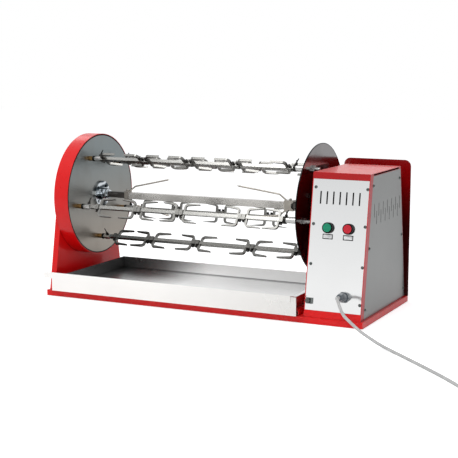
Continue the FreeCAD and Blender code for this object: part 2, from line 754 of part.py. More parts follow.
def slot_cutters():
    first = (HOUSING_LEFT + HOUSING_RIGHT) / 2 - SLOT_PITCH * (SLOT_COUNT - 1) / 2
    cutters = []
    for k in range(SLOT_COUNT):
        cutter = Part.makeBox(SLOT_WIDTH, SLOT_HEIGHT, 20, Vec(-SLOT_WIDTH / 2, -SLOT_HEIGHT / 2, -10))
        cutters.append(on_front(cutter, first + SLOT_PITCH * k, SLOT_MIDDLE))
    return cutters


def front_cover():
    cover = cover_blank(COVER_SEAM, COVER_SHEET)
    cutters = slot_cutters() + front_drillings(HOLE_GAP)
    for x in (START_X, STOP_X):
        cutters.append(front_hole(x, BUTTON_HEIGHT, BEZEL_TAIL_RADIUS + HOLE_GAP, 10))
    cutters.append(front_hole(GLAND_X, GLAND_HEIGHT, GLAND_TAIL_RADIUS + HOLE_GAP, 10))
    return cover.cut(Part.makeCompound(cutters))


def vent_cutters():
    cutters = []
    rows = ((VENT_COUNT, 0.0, VENT_UPPER), (VENT_COUNT - 1, VENT_PITCH / 2, VENT_LOWER))
    first = VENT_MIDDLE_Y - VENT_PITCH * (VENT_COUNT - 1) / 2
    for count, shift, middle in rows:
        for k in range(count):
            y = first + shift + VENT_PITCH * k
            cutters.append(box(HOUSING_RIGHT - 10, HOUSING_RIGHT + 10, y - VENT_WIDTH / 2, y + VENT_WIDTH / 2,
                               middle - VENT_HEIGHT / 2, middle + VENT_HEIGHT / 2))
    return cutters


def side_cover():
    cover = side_blank(COVER_SEAM, COVER_SHEET)
    return cover.cut(Part.makeCompound(vent_cutters() + side_drillings(HOLE_GAP)))


def pan_screw():
    """Domed head standing on the origin plane, shank below it."""
    sphere_radius = (SCREW_HEAD_RADIUS ** 2 + SCREW_HEAD ** 2) / (2 * SCREW_HEAD)
    dome = Part.makeSphere(sphere_radius, Vec(0, 0, SCREW_HEAD - sphere_radius))
    head = dome.common(Part.makeCylinder(SCREW_HEAD_RADIUS + 1, SCREW_HEAD + 1))
    screw = head.fuse(Part.makeCylinder(SCREW_SHANK / 2, SCREW_LENGTH + 0.5, Vec(0, 0, -SCREW_LENGTH)))
    cross = Part.makeBox(5, 1, 2, Vec(-2.5, -0.5, SCREW_HEAD - 1.2))
    return screw.cut(cross).cut(Part.makeBox(1, 5, 2, Vec(-0.5, -2.5, SCREW_HEAD - 1.2)))


def cover_screws():
    screws = [on_front(pan_screw(), x, z) for x, z in front_screw_places()]
    screws += [along_x(pan_screw(), HOUSING_RIGHT, y, z) for y, z in side_screw_places()]
    return screws


def bonding_clamp():
    """A bolt with a bent saddle plate, where an earth lead is clamped."""
    plate = Part.makeBox(BOND_LENGTH, BOND_WIDTH, BOND_PLATE, Vec(-5, -BOND_WIDTH / 2, 0))
    lip = Part.makeBox(BOND_PLATE, BOND_WIDTH, 3 * BOND_PLATE, Vec(BOND_LENGTH - 5 - BOND_PLATE, -BOND_WIDTH / 2, 0))
    head = hexagon(2 * BOND_HEAD_RADIUS, 5)
    head.translate(Vec(0, 0, BOND_PLATE))
    shank = Part.makeCylinder(SCREW_SHANK / 2, SCREW_LENGTH + BOND_PLATE, Vec(0, 0, -SCREW_LENGTH))
    x, z = bond_place()
    return on_front(plate.fuse([lip, head, shank]), x, z)


def heat_shield():
    width = SHIELD_RIGHT - SHIELD_LEFT
    plate = box(SHIELD_LEFT, SHIELD_RIGHT, SHIELD_FRONT, SHIELD_FRONT + SHIELD_SHEET, DECK, SHIELD_TOP)
    corners = [edge for edge in plate.Edges
               if edge.BoundBox.YLength > SHIELD_SHEET / 2 and edge.BoundBox.ZMin > SHIELD_TOP - 1]
    corners = [edge for edge in corners if edge.BoundBox.XLength < width / 2]
    plate = plate.makeFillet(SHIELD_CORNER, corners)
    holes = [y_rod(SHIELD_FRONT - 1, SHIELD_FRONT + SHIELD_SHEET + 1, SMALL_BOLT / 2 + HOLE_GAP, x, z)
             for x, z in spacer_points()]
    return plate.cut(Part.makeCompound(holes))


def shield_spacers():
    """Tubes between the sloping back wall and the shield, each with its bolt."""
    prism = housing_prism(0, 0, 0, 0, 0, 0)
    solids = []
    for x, z in spacer_points():
        wall = back_y(z)
        tube = y_rod(wall - 10, SHIELD_FRONT, SPACER_RADIUS, x, z).cut(prism)
        tube = tube.cut(y_rod(wall - 11, SHIELD_FRONT + 1, SMALL_BOLT / 2 + HOLE_GAP, x, z))
        bolt = y_rod(wall - 6, SHIELD_FRONT + SHIELD_SHEET + 1, SMALL_BOLT / 2, x, z)
        head = hexagon(1.6 * SMALL_BOLT, 0.65 * SMALL_BOLT)
        head.Placement = FreeCAD.Placement(Vec(x, SHIELD_FRONT + SHIELD_SHEET, z), FreeCAD.Rotation(X_AXIS, -90))
        solids += [tube, bolt.fuse(head)]
    return solids


# Controls
def button_bezel(x):
    ring = Part.makeCylinder(BEZEL_RADIUS, BEZEL_HEIGHT)
    ring = ring.makeChamfer(1.2, [e for e in ring.Edges if e.BoundBox.ZMin > BEZEL_HEIGHT - 0.1])
    ring = ring.fuse(Part.makeCylinder(BEZEL_TAIL_RADIUS, BEZEL_TAIL, Vec(0, 0, -BEZEL_TAIL)))
    nut = hexagon(2 * BEZEL_TAIL_RADIUS + 5, 4)
    nut.translate(Vec(0, 0, -COVER_SHEET - 4))
    ring = ring.fuse(nut)
    well = BEZEL_HEIGHT - CAP_THICK - CAP_TRAVEL - RUN_GAP
    ring = ring.cut(Part.makeCylinder(BEZEL_RADIUS - BEZEL_WALL, BEZEL_HEIGHT, Vec(0, 0, well)))
    ring = ring.cut(Part.makeCylinder(CAP_STEM_RADIUS + RUN_GAP, 40, Vec(0, 0, -20)))
    return on_front(ring, x, BUTTON_HEIGHT)


def button_cap(x):
    """A cap with a dished face, and a stem that reaches the contact block."""
    radius = BEZEL_RADIUS - BEZEL_WALL - RUN_GAP
    top = BEZEL_HEIGHT + CAP_PROUD - CAP_TRAVEL
    cap = Part.makeCylinder(radius, CAP_THICK + CAP_PROUD - CAP_TRAVEL, Vec(0, 0, BEZEL_HEIGHT - CAP_THICK))
    cap = cap.makeFillet(1.0, [e for e in cap.Edges if e.BoundBox.ZMin > top - 0.1])
    cap = cap.cut(Part.makeSphere(CAP_DISH_RADIUS, Vec(0, 0, top + CAP_DISH_RADIUS - CAP_DISH)))
    stem = Part.makeCylinder(CAP_STEM_RADIUS, BEZEL_HEIGHT - CAP_THICK + BEZEL_TAIL - CAP_TRAVEL,
                             Vec(0, 0, -BEZEL_TAIL + CAP_TRAVEL + RUN_GAP))
    return on_front(cap.fuse(stem), x, BUTTON_HEIGHT)


def contact_block(x):
    half = CONTACT_BLOCK / 2
    block = Part.makeBox(CONTACT_BLOCK, CONTACT_BLOCK, CONTACT_DEPTH, Vec(-half, -half, -BEZEL_TAIL - CONTACT_DEPTH))
    return on_front(block, x, BUTTON_HEIGHT)


def legend_plate(x):
    plate = Part.makeBox(LEGEND_WIDTH, LEGEND_TALL, LEGEND_THICK,
                         Vec(-LEGEND_WIDTH / 2, -LEGEND_DROP - LEGEND_TALL / 2, 0))
    return on_front(plate, x, BUTTON_HEIGHT)


def cable_gland():
    body = hexagon(GLAND_FLATS, GLAND_HEX)
    body = body.fuse(Part.makeCylinder(GLAND_BODY_RADIUS, GLAND_BODY, Vec(0, 0, GLAND_HEX)))
    nose = Part.makeCone(GLAND_BODY_RADIUS, GLAND_NOSE_RADIUS, GLAND_NOSE, Vec(0, 0, GLAND_HEX + GLAND_BODY))
    tail = Part.makeCylinder(GLAND_TAIL_RADIUS, GLAND_TAIL, Vec(0, 0, -GLAND_TAIL))
    nut = hexagon(GLAND_FLATS, GLAND_NUT)
    nut.translate(Vec(0, 0, -COVER_SHEET - GLAND_NUT))
    return on_front(body.fuse([nose, tail, nut]), GLAND_X, GLAND_HEIGHT)


# Carousel
def disc(x):
    plate = rod(x, x + DISC_SHEET, DISC_RADIUS)
    return plate.cut(rod(x - 1, x + DISC_SHEET + 1, JOURNAL / 2 + SHAFT_GAP))


def hub_bolt_points():
    return ring_of_points(4, HUB_BOLT_CIRCLE, 45)


def spit_holes(x, radius):
    return Part.makeCompound([rod(x - 1, x + DISC_SHEET + 1, radius, y, z)
                              for direction, y, z in map(spit_place, range(SPIT_COUNT))])


def left_disc():
    x = LEFT_DISC_FACE - DISC_SHEET
    plate = disc(x).cut(spit_holes(x, BUSH_RADIUS + SHAFT_GAP))
    return plate.cut(through_holes(hub_bolt_points(), x - 1, LEFT_DISC_FACE + 1, SMALL_BOLT / 2 + HOLE_GAP))


def right_disc():
    x = RIGHT_DISC_FACE
    plate = disc(x).cut(spit_holes(x, TAIL_STUD / 2 + SHAFT_GAP))
    return plate.cut(through_holes(hub_bolt_points(), x - 1, x + DISC_SHEET + 1, SMALL_BOLT / 2 + HOLE_GAP))


def hub_flange(x, facing):
    """A round plate and boss; facing is the side towards the beam."""
    p0, p1 = sorted((x, x + facing * HUB_PLATE))
    b0, b1 = sorted((x, x + facing * (HUB_PLATE + HUB_BOSS)))
    hub = rod(p0, p1, HUB_RADIUS).fuse(rod(b0, b1, HUB_BOSS_RADIUS))
    hub = hub.cut(rod(b0 - 1, b1 + 1, JOURNAL / 2 + SHAFT_GAP))
    return hub.cut(through_holes(hub_bolt_points(), p0 - 1, p1 + 1, SMALL_BOLT / 2 + HOLE_GAP))


def hub_fasteners(x, facing):
    """Nut and lock collar on the axle's thread, and four bolts through plate and disc."""
    start = x + facing * (HUB_PLATE + HUB_BOSS)
    n0, n1 = sorted((start, start + facing * HUB_NUT))
    c0, c1 = sorted((start + facing * HUB_NUT, start + facing * (HUB_NUT + HUB_COLLAR)))
    bore = rod(min(n0, c0) - 1, max(n1, c1) + 1, AXLE_THREAD / 2 + SHAFT_GAP)
    nut = along_x(hexagon(HUB_NUT_FLATS, HUB_NUT), n0).cut(bore)
    collar = rod(c0, c1, HUB_COLLAR_RADIUS).cut(bore)
    b0, b1 = sorted((x - facing * DISC_SHEET, x + facing * HUB_PLATE))
    return [nut, collar] + [hex_bolt_x(b0, b1, SMALL_BOLT, y, z) for y, z in hub_bolt_points()]


def axle(x_end, x_disc, facing):
    """Journal outside the disc, thread and square shank inside, and a plug for the beam."""
    hub_end = x_disc + facing * (HUB_PLATE + HUB_BOSS)
    thread_end = hub_end + facing * (HUB_NUT + HUB_COLLAR + AXLE_THREAD_LENGTH)
    shank_end = thread_end + facing * AXLE_SQUARE_LENGTH
    plug_end = shank_end + facing * AXLE_PLUG_LENGTH
    spans = [sorted((x_end, hub_end)), sorted((hub_end, thread_end)), sorted((thread_end, shank_end)),
             sorted((shank_end, plug_end))]
    shaft = rod(spans[0][0], spans[0][1], JOURNAL / 2)
    shaft = shaft.fuse(rod(spans[1][0], spans[1][1], AXLE_THREAD / 2))
    shaft = shaft.fuse(square_bar(spans[2][0], spans[2][1], AXLE_SQUARE))
    return shaft.fuse(square_bar(spans[3][0], spans[3][1], BEAM - 2 * BEAM_WALL - 2 * SHAFT_GAP))


def centre_beam():
    tube = square_bar(BEAM_START, BEAM_END, BEAM)
    return tube.cut(square_bar(BEAM_START - 1, BEAM_END + 1, BEAM - 2 * BEAM_WALL))


def prong(root, facing, side, reach, tip_radius):
    """A round rod that rises from a clamp and then runs outwards at a shallow angle."""
    knee = Vec(root.x + facing * PRONG_KNEE, 0, root.z + side * PRONG_RISE)
    tip = Vec(root.x + facing * reach, 0, AXIS_HEIGHT + side * tip_radius)
    rise = knee - root
    run = tip - knee
    radius = PRONG_ROD / 2
    bar = Part.makeCylinder(radius, rise.Length, root, rise)
    bar = bar.fuse(Part.makeSphere(radius, knee))
    bar = bar.fuse(Part.makeCylinder(radius, run.Length - 6, knee, run))
    point = tip - run.normalize() * 6
    return bar.fuse(Part.makeCone(radius, radius / 3, 6, point, run))


def beam_clamp(x0, x1, size, facing, reach, tip_radius):
    """A square sleeve round the beam with two prongs."""
    sleeve = square_bar(x0, x1, size)
    edge = x1 if facing > 0 else x0
    for side in (-1, 1):
        root = Vec(edge - facing * (PRONG_ROD / 2 + 1), 0, AXIS_HEIGHT + side * (size - PRONG_ROD) / 2)
        sleeve = sleeve.fuse(prong(root, facing, side, reach, tip_radius))
    return sleeve.cut(square_bar(x0 - reach, x1 + reach, BEAM + 2 * RUN_GAP))


def clamp_screw(x, size):
    """The set screw's head on top of a clamp."""
    foot = AXIS_HEIGHT + size / 2
    return post(foot, foot + CLAMP_SCREW, CLAMP_SCREW_RADIUS, x, 0)


def left_clamp():
    x0 = BEAM_START + RUN_GAP
    x1 = x0 + LEFT_CLAMP_LENGTH
    sleeve = beam_clamp(x0, x1, LEFT_CLAMP_SIZE, 1, LEFT_PRONG_REACH, LEFT_PRONG_TIP)
    return [sleeve, clamp_screw(x0 + CLAMP_SCREW_RADIUS + HOLE_GAP, LEFT_CLAMP_SIZE)]


def right_clamp():
    x1 = BEAM_END + RIGHT_CLAMP_OVERHANG
    x0 = x1 - RIGHT_CLAMP_LENGTH
    clamp = beam_clamp(x0, x1, RIGHT_CLAMP_SIZE, -1, RIGHT_PRONG_REACH, RIGHT_PRONG_TIP)
    half = RIGHT_CLAMP_SIZE / 2
    notch = [(x1 + 1, half - 4), (x1 - CLAMP_NOTCH, half - 9), (x1 - CLAMP_NOTCH, 9 - half), (x1 + 1, 4 - half)]
    corners = [Vec(x, -RIGHT_CLAMP_SIZE, AXIS_HEIGHT + z) for x, z in notch]
    cutter = Part.Face(Part.makePolygon(corners + corners[:1])).extrude(Vec(0, 2 * RIGHT_CLAMP_SIZE, 0))
    return [clamp.cut(cutter), clamp_screw((x0 + x1) / 2, RIGHT_CLAMP_SIZE)]


def drive_gear():
    wheel = gear(DRIVE_MODULE, DRIVE_TEETH, GEAR_WIDTH, 90, JOURNAL / 2 + SHAFT_GAP)
    wheel.translate(Vec(DRIVE_GEAR_X, 0, AXIS_HEIGHT))
    hub = rod(DRIVE_GEAR_X + GEAR_WIDTH, DRIVE_GEAR_X + GEAR_WIDTH + 8, JOURNAL / 2 + 8)
    return wheel.fuse(hub.cut(rod(DRIVE_GEAR_X, DRIVE_GEAR_X + GEAR_WIDTH + 9, JOURNAL / 2 + SHAFT_GAP)))


def motor_pinion():
    first_tooth = 90 + 180 / PINION_TEETH
    z = AXIS_HEIGHT - DRIVE_CENTRES
    wheel = gear(DRIVE_MODULE, PINION_TEETH, GEAR_WIDTH, first_tooth, PINION_SHAFT / 4)
    wheel.translate(Vec(DRIVE_GEAR_X, 0, z))
    return wheel.fuse(rod(DRIVE_GEAR_X - 4, GEARBOX_X + GEARBOX_LENGTH - 5, PINION_SHAFT / 2, 0, z))


def gearbox():
    z = AXIS_HEIGHT - DRIVE_CENTRES
    box_ = box(GEARBOX_X, GEARBOX_X + GEARBOX_LENGTH, -GEARBOX_HALF, GEARBOX_HALF, z - GEARBOX_HALF, z + GEARBOX_HALF)
    box_ = box_.makeFillet(6, [e for e in box_.Edges if e.BoundBox.XLength > GEARBOX_LENGTH / 2])
    return box_.cut(rod(GEARBOX_X - 1, GEARBOX_X + GEARBOX_LENGTH - 4, PINION_SHAFT / 2 + SHAFT_GAP, 0, z))


def motor():
    top = AXIS_HEIGHT - DRIVE_CENTRES - GEARBOX_HALF
    x = GEARBOX_X + GEARBOX_LENGTH / 2
    half = MOTOR_FOOT / 2
    can = post(DECK, top, MOTOR_RADIUS, x, 0)
    foot = box(x - half, x + half, -half, half, DECK, DECK + MOTOR_FOOT_PLATE)
    fins = [post(z, z + 3, MOTOR_RADIUS + 3, x, 0) for z in range(45, int(top) - 15, 10)]
    return can.fuse([foot] + fins)


def disc_bush(y, z):
    x = LEFT_DISC_FACE - DISC_SHEET
    bush = rod(x - BUSH_FLANGE, x, BUSH_FLANGE_RADIUS, y, z)
    bush = bush.fuse(rod(x - BUSH_FLANGE, LEFT_DISC_FACE + BUSH_NOSE, BUSH_RADIUS, y, z))
    return bush.cut(rod(x - 10, LEFT_DISC_FACE + BUSH_NOSE + 1, PLANET_SHAFT / 2 + SHAFT_GAP, y, z))


TAIL_STUD_START = RIGHT_DISC_FACE - TAIL_STUD_INSET


def tail_stud(y, z):
    """A stud through the right disc, nuts on both sides, and a plain pin that carries the spit."""
    outer = RIGHT_DISC_FACE + DISC_SHEET
    stud = rod(TAIL_STUD_START, outer + TAIL_STUD_PROUD, TAIL_STUD / 2, y, z)
    stud = stud.fuse(rod(TAIL_STUD_START - TAIL_PIN_LENGTH, TAIL_STUD_START, TAIL_PIN / 2, y, z))
    nuts = []
    for x in (RIGHT_DISC_FACE - TAIL_NUT, outer):
        nut = along_x(hexagon(TAIL_NUT_FLATS, TAIL_NUT), x, y, z)
        nuts.append(nut)
    return stud.fuse(nuts)


# Spits
RING_START = LEFT_DISC_FACE + BUSH_NOSE + RUN_GAP
NECK_START = RING_START + RING_WIDTH
CHUCK_START = NECK_START + NECK_LENGTH
CHUCK_END = CHUCK_START + CHUCK_LENGTH
SLEEVE_START = BAR_END - TAIL_SOCKET
SLEEVE_END = SLEEVE_START + TAIL_SLEEVE_LENGTH


def spit_drive(index, letter):
    """Pinion, shaft and chuck in one piece, and the tail sleeve."""
    direction, y, z = spit_place(index)
    turn = SPITS[letter]["turn"]
    pinion = gear(PLANET_MODULE, PLANET_TEETH, GEAR_WIDTH, planet_phase(direction), PLANET_SHAFT / 4)
    pinion.translate(Vec(SUN_X, y, z))
    shaft = rod(SUN_X - 6, CHUCK_START, PLANET_SHAFT / 2, y, z)
    hub = rod(SUN_X + GEAR_WIDTH, SUN_X + GEAR_WIDTH + 5, PLANET_SHAFT, y, z)
    neck = rod(NECK_START, CHUCK_START, NECK_RADIUS, y, z)
    chuck = rod(CHUCK_START, CHUCK_END, CHUCK_RADIUS, y, z)
    side = SPIT_BAR + 2 * SHAFT_GAP
    drive = pinion.fuse([shaft, hub, neck, chuck])
    drive = drive.cut(square_bar(BAR_START - RUN_GAP, CHUCK_END + 1, side, y, z, turn))
    sleeve = rod(SLEEVE_START, SLEEVE_END, TAIL_SLEEVE_RADIUS, y, z)
    sleeve = sleeve.cut(square_bar(SLEEVE_START - 1, BAR_END + RUN_GAP, side, y, z, turn))
    sleeve = sleeve.cut(rod(BAR_END, RIGHT_DISC_FACE, TAIL_PIN / 2 + SHAFT_GAP, y, z))
    return [drive, sleeve]


def spit_bar(index, letter):
    direction, y, z = spit_place(index)
    return square_bar(BAR_START, BAR_END, SPIT_BAR, y, z, SPITS[letter]["turn"])


def fork_profile(facing):
    """Outline of a fork in the plane of its prongs, as a U lying along X."""
    half = FORK_WIDTH / 2
    outer = FORK_REACH
    inner = FORK_REACH - FORK_STRIP
    back = 0.0
    front = FORK_STRIP
    tip = FORK_PRONG
    blunt = FORK_REACH - FORK_TIP
    bend = FORK_BEND
    small = FORK_BEND - FORK_STRIP
    diag = 1 - math.sqrt(0.5)

    def at(x, r):
        return Vec(facing * x, -half, r)

    def corner(x0, r0, sx, sr, radius):
        """Arc from the vertical strip into the prong round (x0, r0)."""
        return Part.Arc(at(x0, r0 - sr * radius), at(x0 + sx * radius * diag, r0 - sr * radius * diag),
                        at(x0 + sx * radius, r0)).toShape()

    edges = [
        Part.LineSegment(at(back, -outer + bend), at(back, outer - bend)).toShape(),
        corner(back, outer, 1, 1, bend),
        Part.LineSegment(at(bend, outer), at(tip, outer)).toShape(),
        Part.LineSegment(at(tip, outer), at(tip, blunt)).toShape(),
        Part.LineSegment(at(tip, blunt), at(front + small, inner)).toShape(),
        corner(front, inner, 1, 1, small),
        Part.LineSegment(at(front, inner - small), at(front, -inner + small)).toShape(),
        corner(front, -inner, 1, -1, small),
        Part.LineSegment(at(front + small, -inner), at(tip, -blunt)).toShape(),
        Part.LineSegment(at(tip, -blunt), at(tip, -outer)).toShape(),
        Part.LineSegment(at(tip, -outer), at(bend, -outer)).toShape(),
        corner(back, -outer, 1, -1, bend),
    ]
    face = Part.Face(Part.Wire(Part.__sortEdges__(edges)))
    return face.extrude(Vec(0, FORK_WIDTH, 0))


def fork(x, facing, y, z, turn):
    """A U-shaped fork with a square hub behind it that slides on the spit's bar."""
    body = fork_profile(facing)
    half = FORK_HUB / 2
    h0, h1 = sorted((0.0, -facing * FORK_HUB_WIDTH))
    body = body.fuse(box(h0, h1, -half, half, -half, half))
    side = SPIT_BAR / 2 + SHAFT_GAP
    body = body.cut(box(-FORK_PRONG, FORK_PRONG, -side, side, -side, side))
    body.rotate(Vec(0, 0, 0), X_AXIS, turn - 90)
    body.translate(Vec(x, y, z))
    return body


def fork_places(letter):
    """(x, facing) of the eight forks on one spit."""
    spit = SPITS[letter]
    half = FORK_HUB_WIDTH + FORK_HUB_GAP / 2
    places = [(spit["first"], 1)]
    for middle in spit["pairs"]:
        places += [(middle - half, -1), (middle + half, 1)]
    return places + [(spit["last"], -1)]


def spit_forks(index, letter):
    direction, y, z = spit_place(index)
    return [fork(x, facing, y, z, SPITS[letter]["turn"]) for x, facing in fork_places(letter)]


def upright_flat(turn):
    """Turn about X, from straight up, of the bar's flat that faces most nearly upwards."""
    return (turn + 45) % 90 - 45


def wing_screw(x, y, z, turn, seat):
    """A collar, a stem and two wings that clamp the bar from outside."""
    low = WING_TOP - WING_HEIGHT
    stem = Part.makeCylinder(WING_STEM_RADIUS, low + 2 - seat, Vec(0, 0, seat))
    collar = Part.makeCylinder(WING_BODY_RADIUS, WING_BODY, Vec(0, 0, seat))
    wings = []
    for side in (-1, 1):
        points = [(0, low), (side * WING_SPAN / 2, WING_TOP), (side * (WING_SPAN / 2 - 4), WING_TOP), (0, low + 6)]
        corners = [Vec(-WING_THICK / 2, a, b) for a, b in points]
        wings.append(Part.Face(Part.makePolygon(corners + corners[:1])).extrude(Vec(WING_THICK, 0, 0)))
    screw = stem.fuse([collar] + wings)
    screw.rotate(Vec(0, 0, 0), Z_AXIS, 45)
    screw.rotate(Vec(0, 0, 0), X_AXIS, turn)
    screw.translate(Vec(x, y, z))
    return screw


def fork_knob(x, facing, y, z, turn):
    """The round knob of the screw in a fork's hub."""
    knob = Part.makeCylinder(FORK_KNOB_RADIUS, FORK_KNOB, Vec(0, 0, FORK_HUB / 2))
    knob.rotate(Vec(0, 0, 0), X_AXIS, turn)
    knob.translate(Vec(x - facing * FORK_HUB_WIDTH / 2, y, z))
    return knob


def spit_clamps(index, letter):
    """Black rings at both ends, a wing screw beside each, and the forks' round knobs."""
    direction, y, z = spit_place(index)
    turn = SPITS[letter]["turn"]
    bore = rod(RING_START - 1, NECK_START + 1, PLANET_SHAFT / 2 + SHAFT_GAP, y, z)
    ring = rod(RING_START, NECK_START, RING_RADIUS, y, z).cut(bore)
    sleeve = rod(SLEEVE_START, SLEEVE_END, TAIL_SLEEVE_RADIUS + SHAFT_GAP, y, z)
    tail = rod(SLEEVE_START + 1, SLEEVE_START + 1 + RING_WIDTH, TAIL_RING_RADIUS, y, z).cut(sleeve)
    lift = upright_flat(turn)
    screws = [
        wing_screw((CHUCK_START + CHUCK_END) / 2, y, z, lift, CHUCK_RADIUS),
        wing_screw(SLEEVE_START + 1 + RING_WIDTH / 2, y, z, lift, TAIL_RING_RADIUS),
    ]
    knob_turn = turn - 90 if SPITS[letter]["knob"] > 0 else turn + 90
    knobs = [fork_knob(x, facing, y, z, knob_turn) for x, facing in fork_places(letter)]
    return [ring, tail] + screws + knobs


# Mains lead
def gland_exit():
    """Point and direction at which the lead leaves the gland."""
    direction = FRONT_TURN.multVec(Z_AXIS)
    base = Vec(GLAND_X, front_y(GLAND_HEIGHT), GLAND_HEIGHT)
    return base + direction * (GLAND_HEX + GLAND_BODY + GLAND_NOSE), direction


# The lead's corner points after its straight start, down to the floor and along it
FLOOR_LINE = CORD / 2
CORD_ROUTE = [
    (455.0, -266.0, 91.0),
    (469.0, -287.0, 77.0),
    (483.0, -295.0, 56.5),
    (505.0, -307.0, 45.5),
    (534.0, -322.5, 30.5),
    (567.0, -344.0, 21.5),
    (609.0, -372.0, 11.5),
    (651.0, -393.0, FLOOR_LINE),
    (687.0, -427.0, FLOOR_LINE),
    (728.0, -466.0, FLOOR_LINE),
    (772.0, -509.0, FLOOR_LINE),
    (822.0, -558.0, FLOOR_LINE),
    (870.0, -611.0, FLOOR_LINE),
]
COIL_ENTRY = Vec(914.0, -656.0, FLOOR_LINE)
COIL_HEADING = math.degrees(math.atan2(COIL_ENTRY.y - CORD_ROUTE[-1][1], COIL_ENTRY.x - CORD_ROUTE[-1][0]))


def rounded_path(points):
    """Straight runs joined by tangent arcs; returns the wire and the arcs' radii."""
    corners = []
    radii = []
    for before, here, after in zip(points, points[1:], points[2:]):
        back = before - here
        ahead = after - here
        turn = math.pi - back.getAngle(ahead)
        shorter = min(back.Length, ahead.Length)
        cut = 0.45 * shorter
        radii.append(cut / math.tan(turn / 2))
        start = here + back.normalize() * cut
        end = here + ahead.normalize() * cut
        middle = here + ((start - here) + (end - here)).normalize() * (
            math.hypot(radii[-1], cut) - radii[-1])
        corners.append((start, middle, end))
    edges = []
    cursor = points[0]
    for start, middle, end in corners:
        edges.append(Part.LineSegment(cursor, start).toShape())
        edges.append(Part.Arc(start, middle, end).toShape())
        cursor = end
    edges.append(Part.LineSegment(cursor, points[-1]).toShape())
    return Part.Wire(edges), radii


def tube(path, start, direction):
    """Sweep the lead's round section along a path."""
    circle = Part.makeCircle(CORD / 2, start, direction)
    return path.makePipeShell([Part.Wire(circle)], True, False)


def cord_run():
    start, direction = gland_exit()
    points = [start, start + direction * CORD_EXIT_RUN] + [Vec(*p) for p in CORD_ROUTE] + [COIL_ENTRY]
    path, radii = rounded_path(points)
    print("cord run: length", round(path.Length, 1), "radii", [round(r) for r in radii])
    solid = tube(path, start, direction)
    print("cord run: volume over section times length", round(solid.Volume / (math.pi * CORD ** 2 / 4 * path.Length), 4))
    return solid, path.Length


def coil_frame(angle, radius, height):
    """Point of the coil after it has turned left from its entry by an angle."""
    heading = math.radians(COIL_HEADING)
    centre = Vec(COIL_ENTRY.x - COIL_RADIUS * math.sin(heading), COIL_ENTRY.y + COIL_RADIUS * math.cos(heading), 0)
    around = heading - math.pi / 2 + angle
    return Vec(centre.x + radius * math.cos(around), centre.y + radius * math.sin(around), height)


def coil_place(angle):
    """Radius and height: inwards on the lower layer, up, and outwards on the upper one."""
    turn = angle / (2 * math.pi)
    middle = COIL_TURNS_PER_LAYER + 0.25
    radius = COIL_RADIUS - COIL_STEP * (middle - abs(turn - middle))
    climb = min(max((turn - COIL_TURNS_PER_LAYER) / 0.5, 0.0), 1.0)
    return radius, FLOOR_LINE + COIL_STEP * climb * climb * (3 - 2 * climb)


def coil_point(angle):
    radius, height = coil_place(angle)
    return coil_frame(angle, radius, height)


def coil_tangent(angle):
    step = 1e-4
    return (coil_point(angle + step) - coil_point(max(angle - step, 0.0))).normalize()


def biarc(p0, t0, p1, t1):
    """Two arcs that leave p0 along t0 and reach p1 along t1."""
    chord = p1 - p0
    t = t0 + t1
    a = 2 * (1 - t0.dot(t1))
    b = 2 * chord.dot(t)
    c = -chord.dot(chord)
    reach = -c / b if abs(a) < 1e-9 else (-b + math.sqrt(b * b - 4 * a * c)) / (2 * a)
    joint = (p0 + t0 * reach + p1 - t1 * reach) * 0.5
    return [arc_from(p0, t0, joint), arc_to(joint, p1, t1)]


def arc_from(p0, tangent, p1):
    """Arc from p0, leaving along a tangent, to p1."""
    chord = p1 - p0
    normal = tangent.cross(chord)
    if normal.Length < 1e-7:
        return Part.LineSegment(p0, p1).toShape()
    inward = normal.cross(tangent).normalize()
    radius = chord.dot(chord) / (2 * chord.dot(inward))
    centre = p0 + inward * radius
    middle = centre + ((p0 + p1) * 0.5 - centre).normalize() * radius
    return Part.Arc(p0, middle, p1).toShape()


def arc_to(p0, p1, tangent):
    """Arc from p0 to p1, arriving along a tangent."""
    arc = arc_from(p1, tangent * -1, p0)
    arc.reverse()
    return arc


def cord_coil():
    total = 2 * math.pi * (2 * COIL_TURNS_PER_LAYER + 0.5)
    quarters = int(round(total / (math.pi / 2)))
    angles = [total * k / quarters for k in range(quarters + 1)]
    points = [coil_point(a) for a in angles]
    tangents = [coil_tangent(a) for a in angles]
    heading = math.radians(COIL_HEADING)
    tangents[0] = Vec(math.cos(heading), math.sin(heading), 0)
    edges = []
    for k in range(quarters):
        edges += biarc(points[k], tangents[k], points[k + 1], tangents[k + 1])
    tail = points[-1] + tangents[-1] * COIL_TAIL
    edges.append(Part.LineSegment(points[-1], tail).toShape())
    path = Part.Wire(edges)
    solid = tube(path, points[0], tangents[0])
    samples = []
    for k in range(0, quarters * 24 + 1):
        angle = total * k / (quarters * 24)
        samples.append((angle, coil_point(angle)))
    least = min((p - q).Length for a, p in samples for b, q in samples if b - a > math.pi)
    print("coil: length", round(path.Length, 1), "least gap to itself", round(least - CORD, 2))
    print("coil: volume over section times length", round(solid.Volume / (math.pi * CORD ** 2 / 4 * path.Length), 4))
    return solid, tail, tangents[-1], path.Length


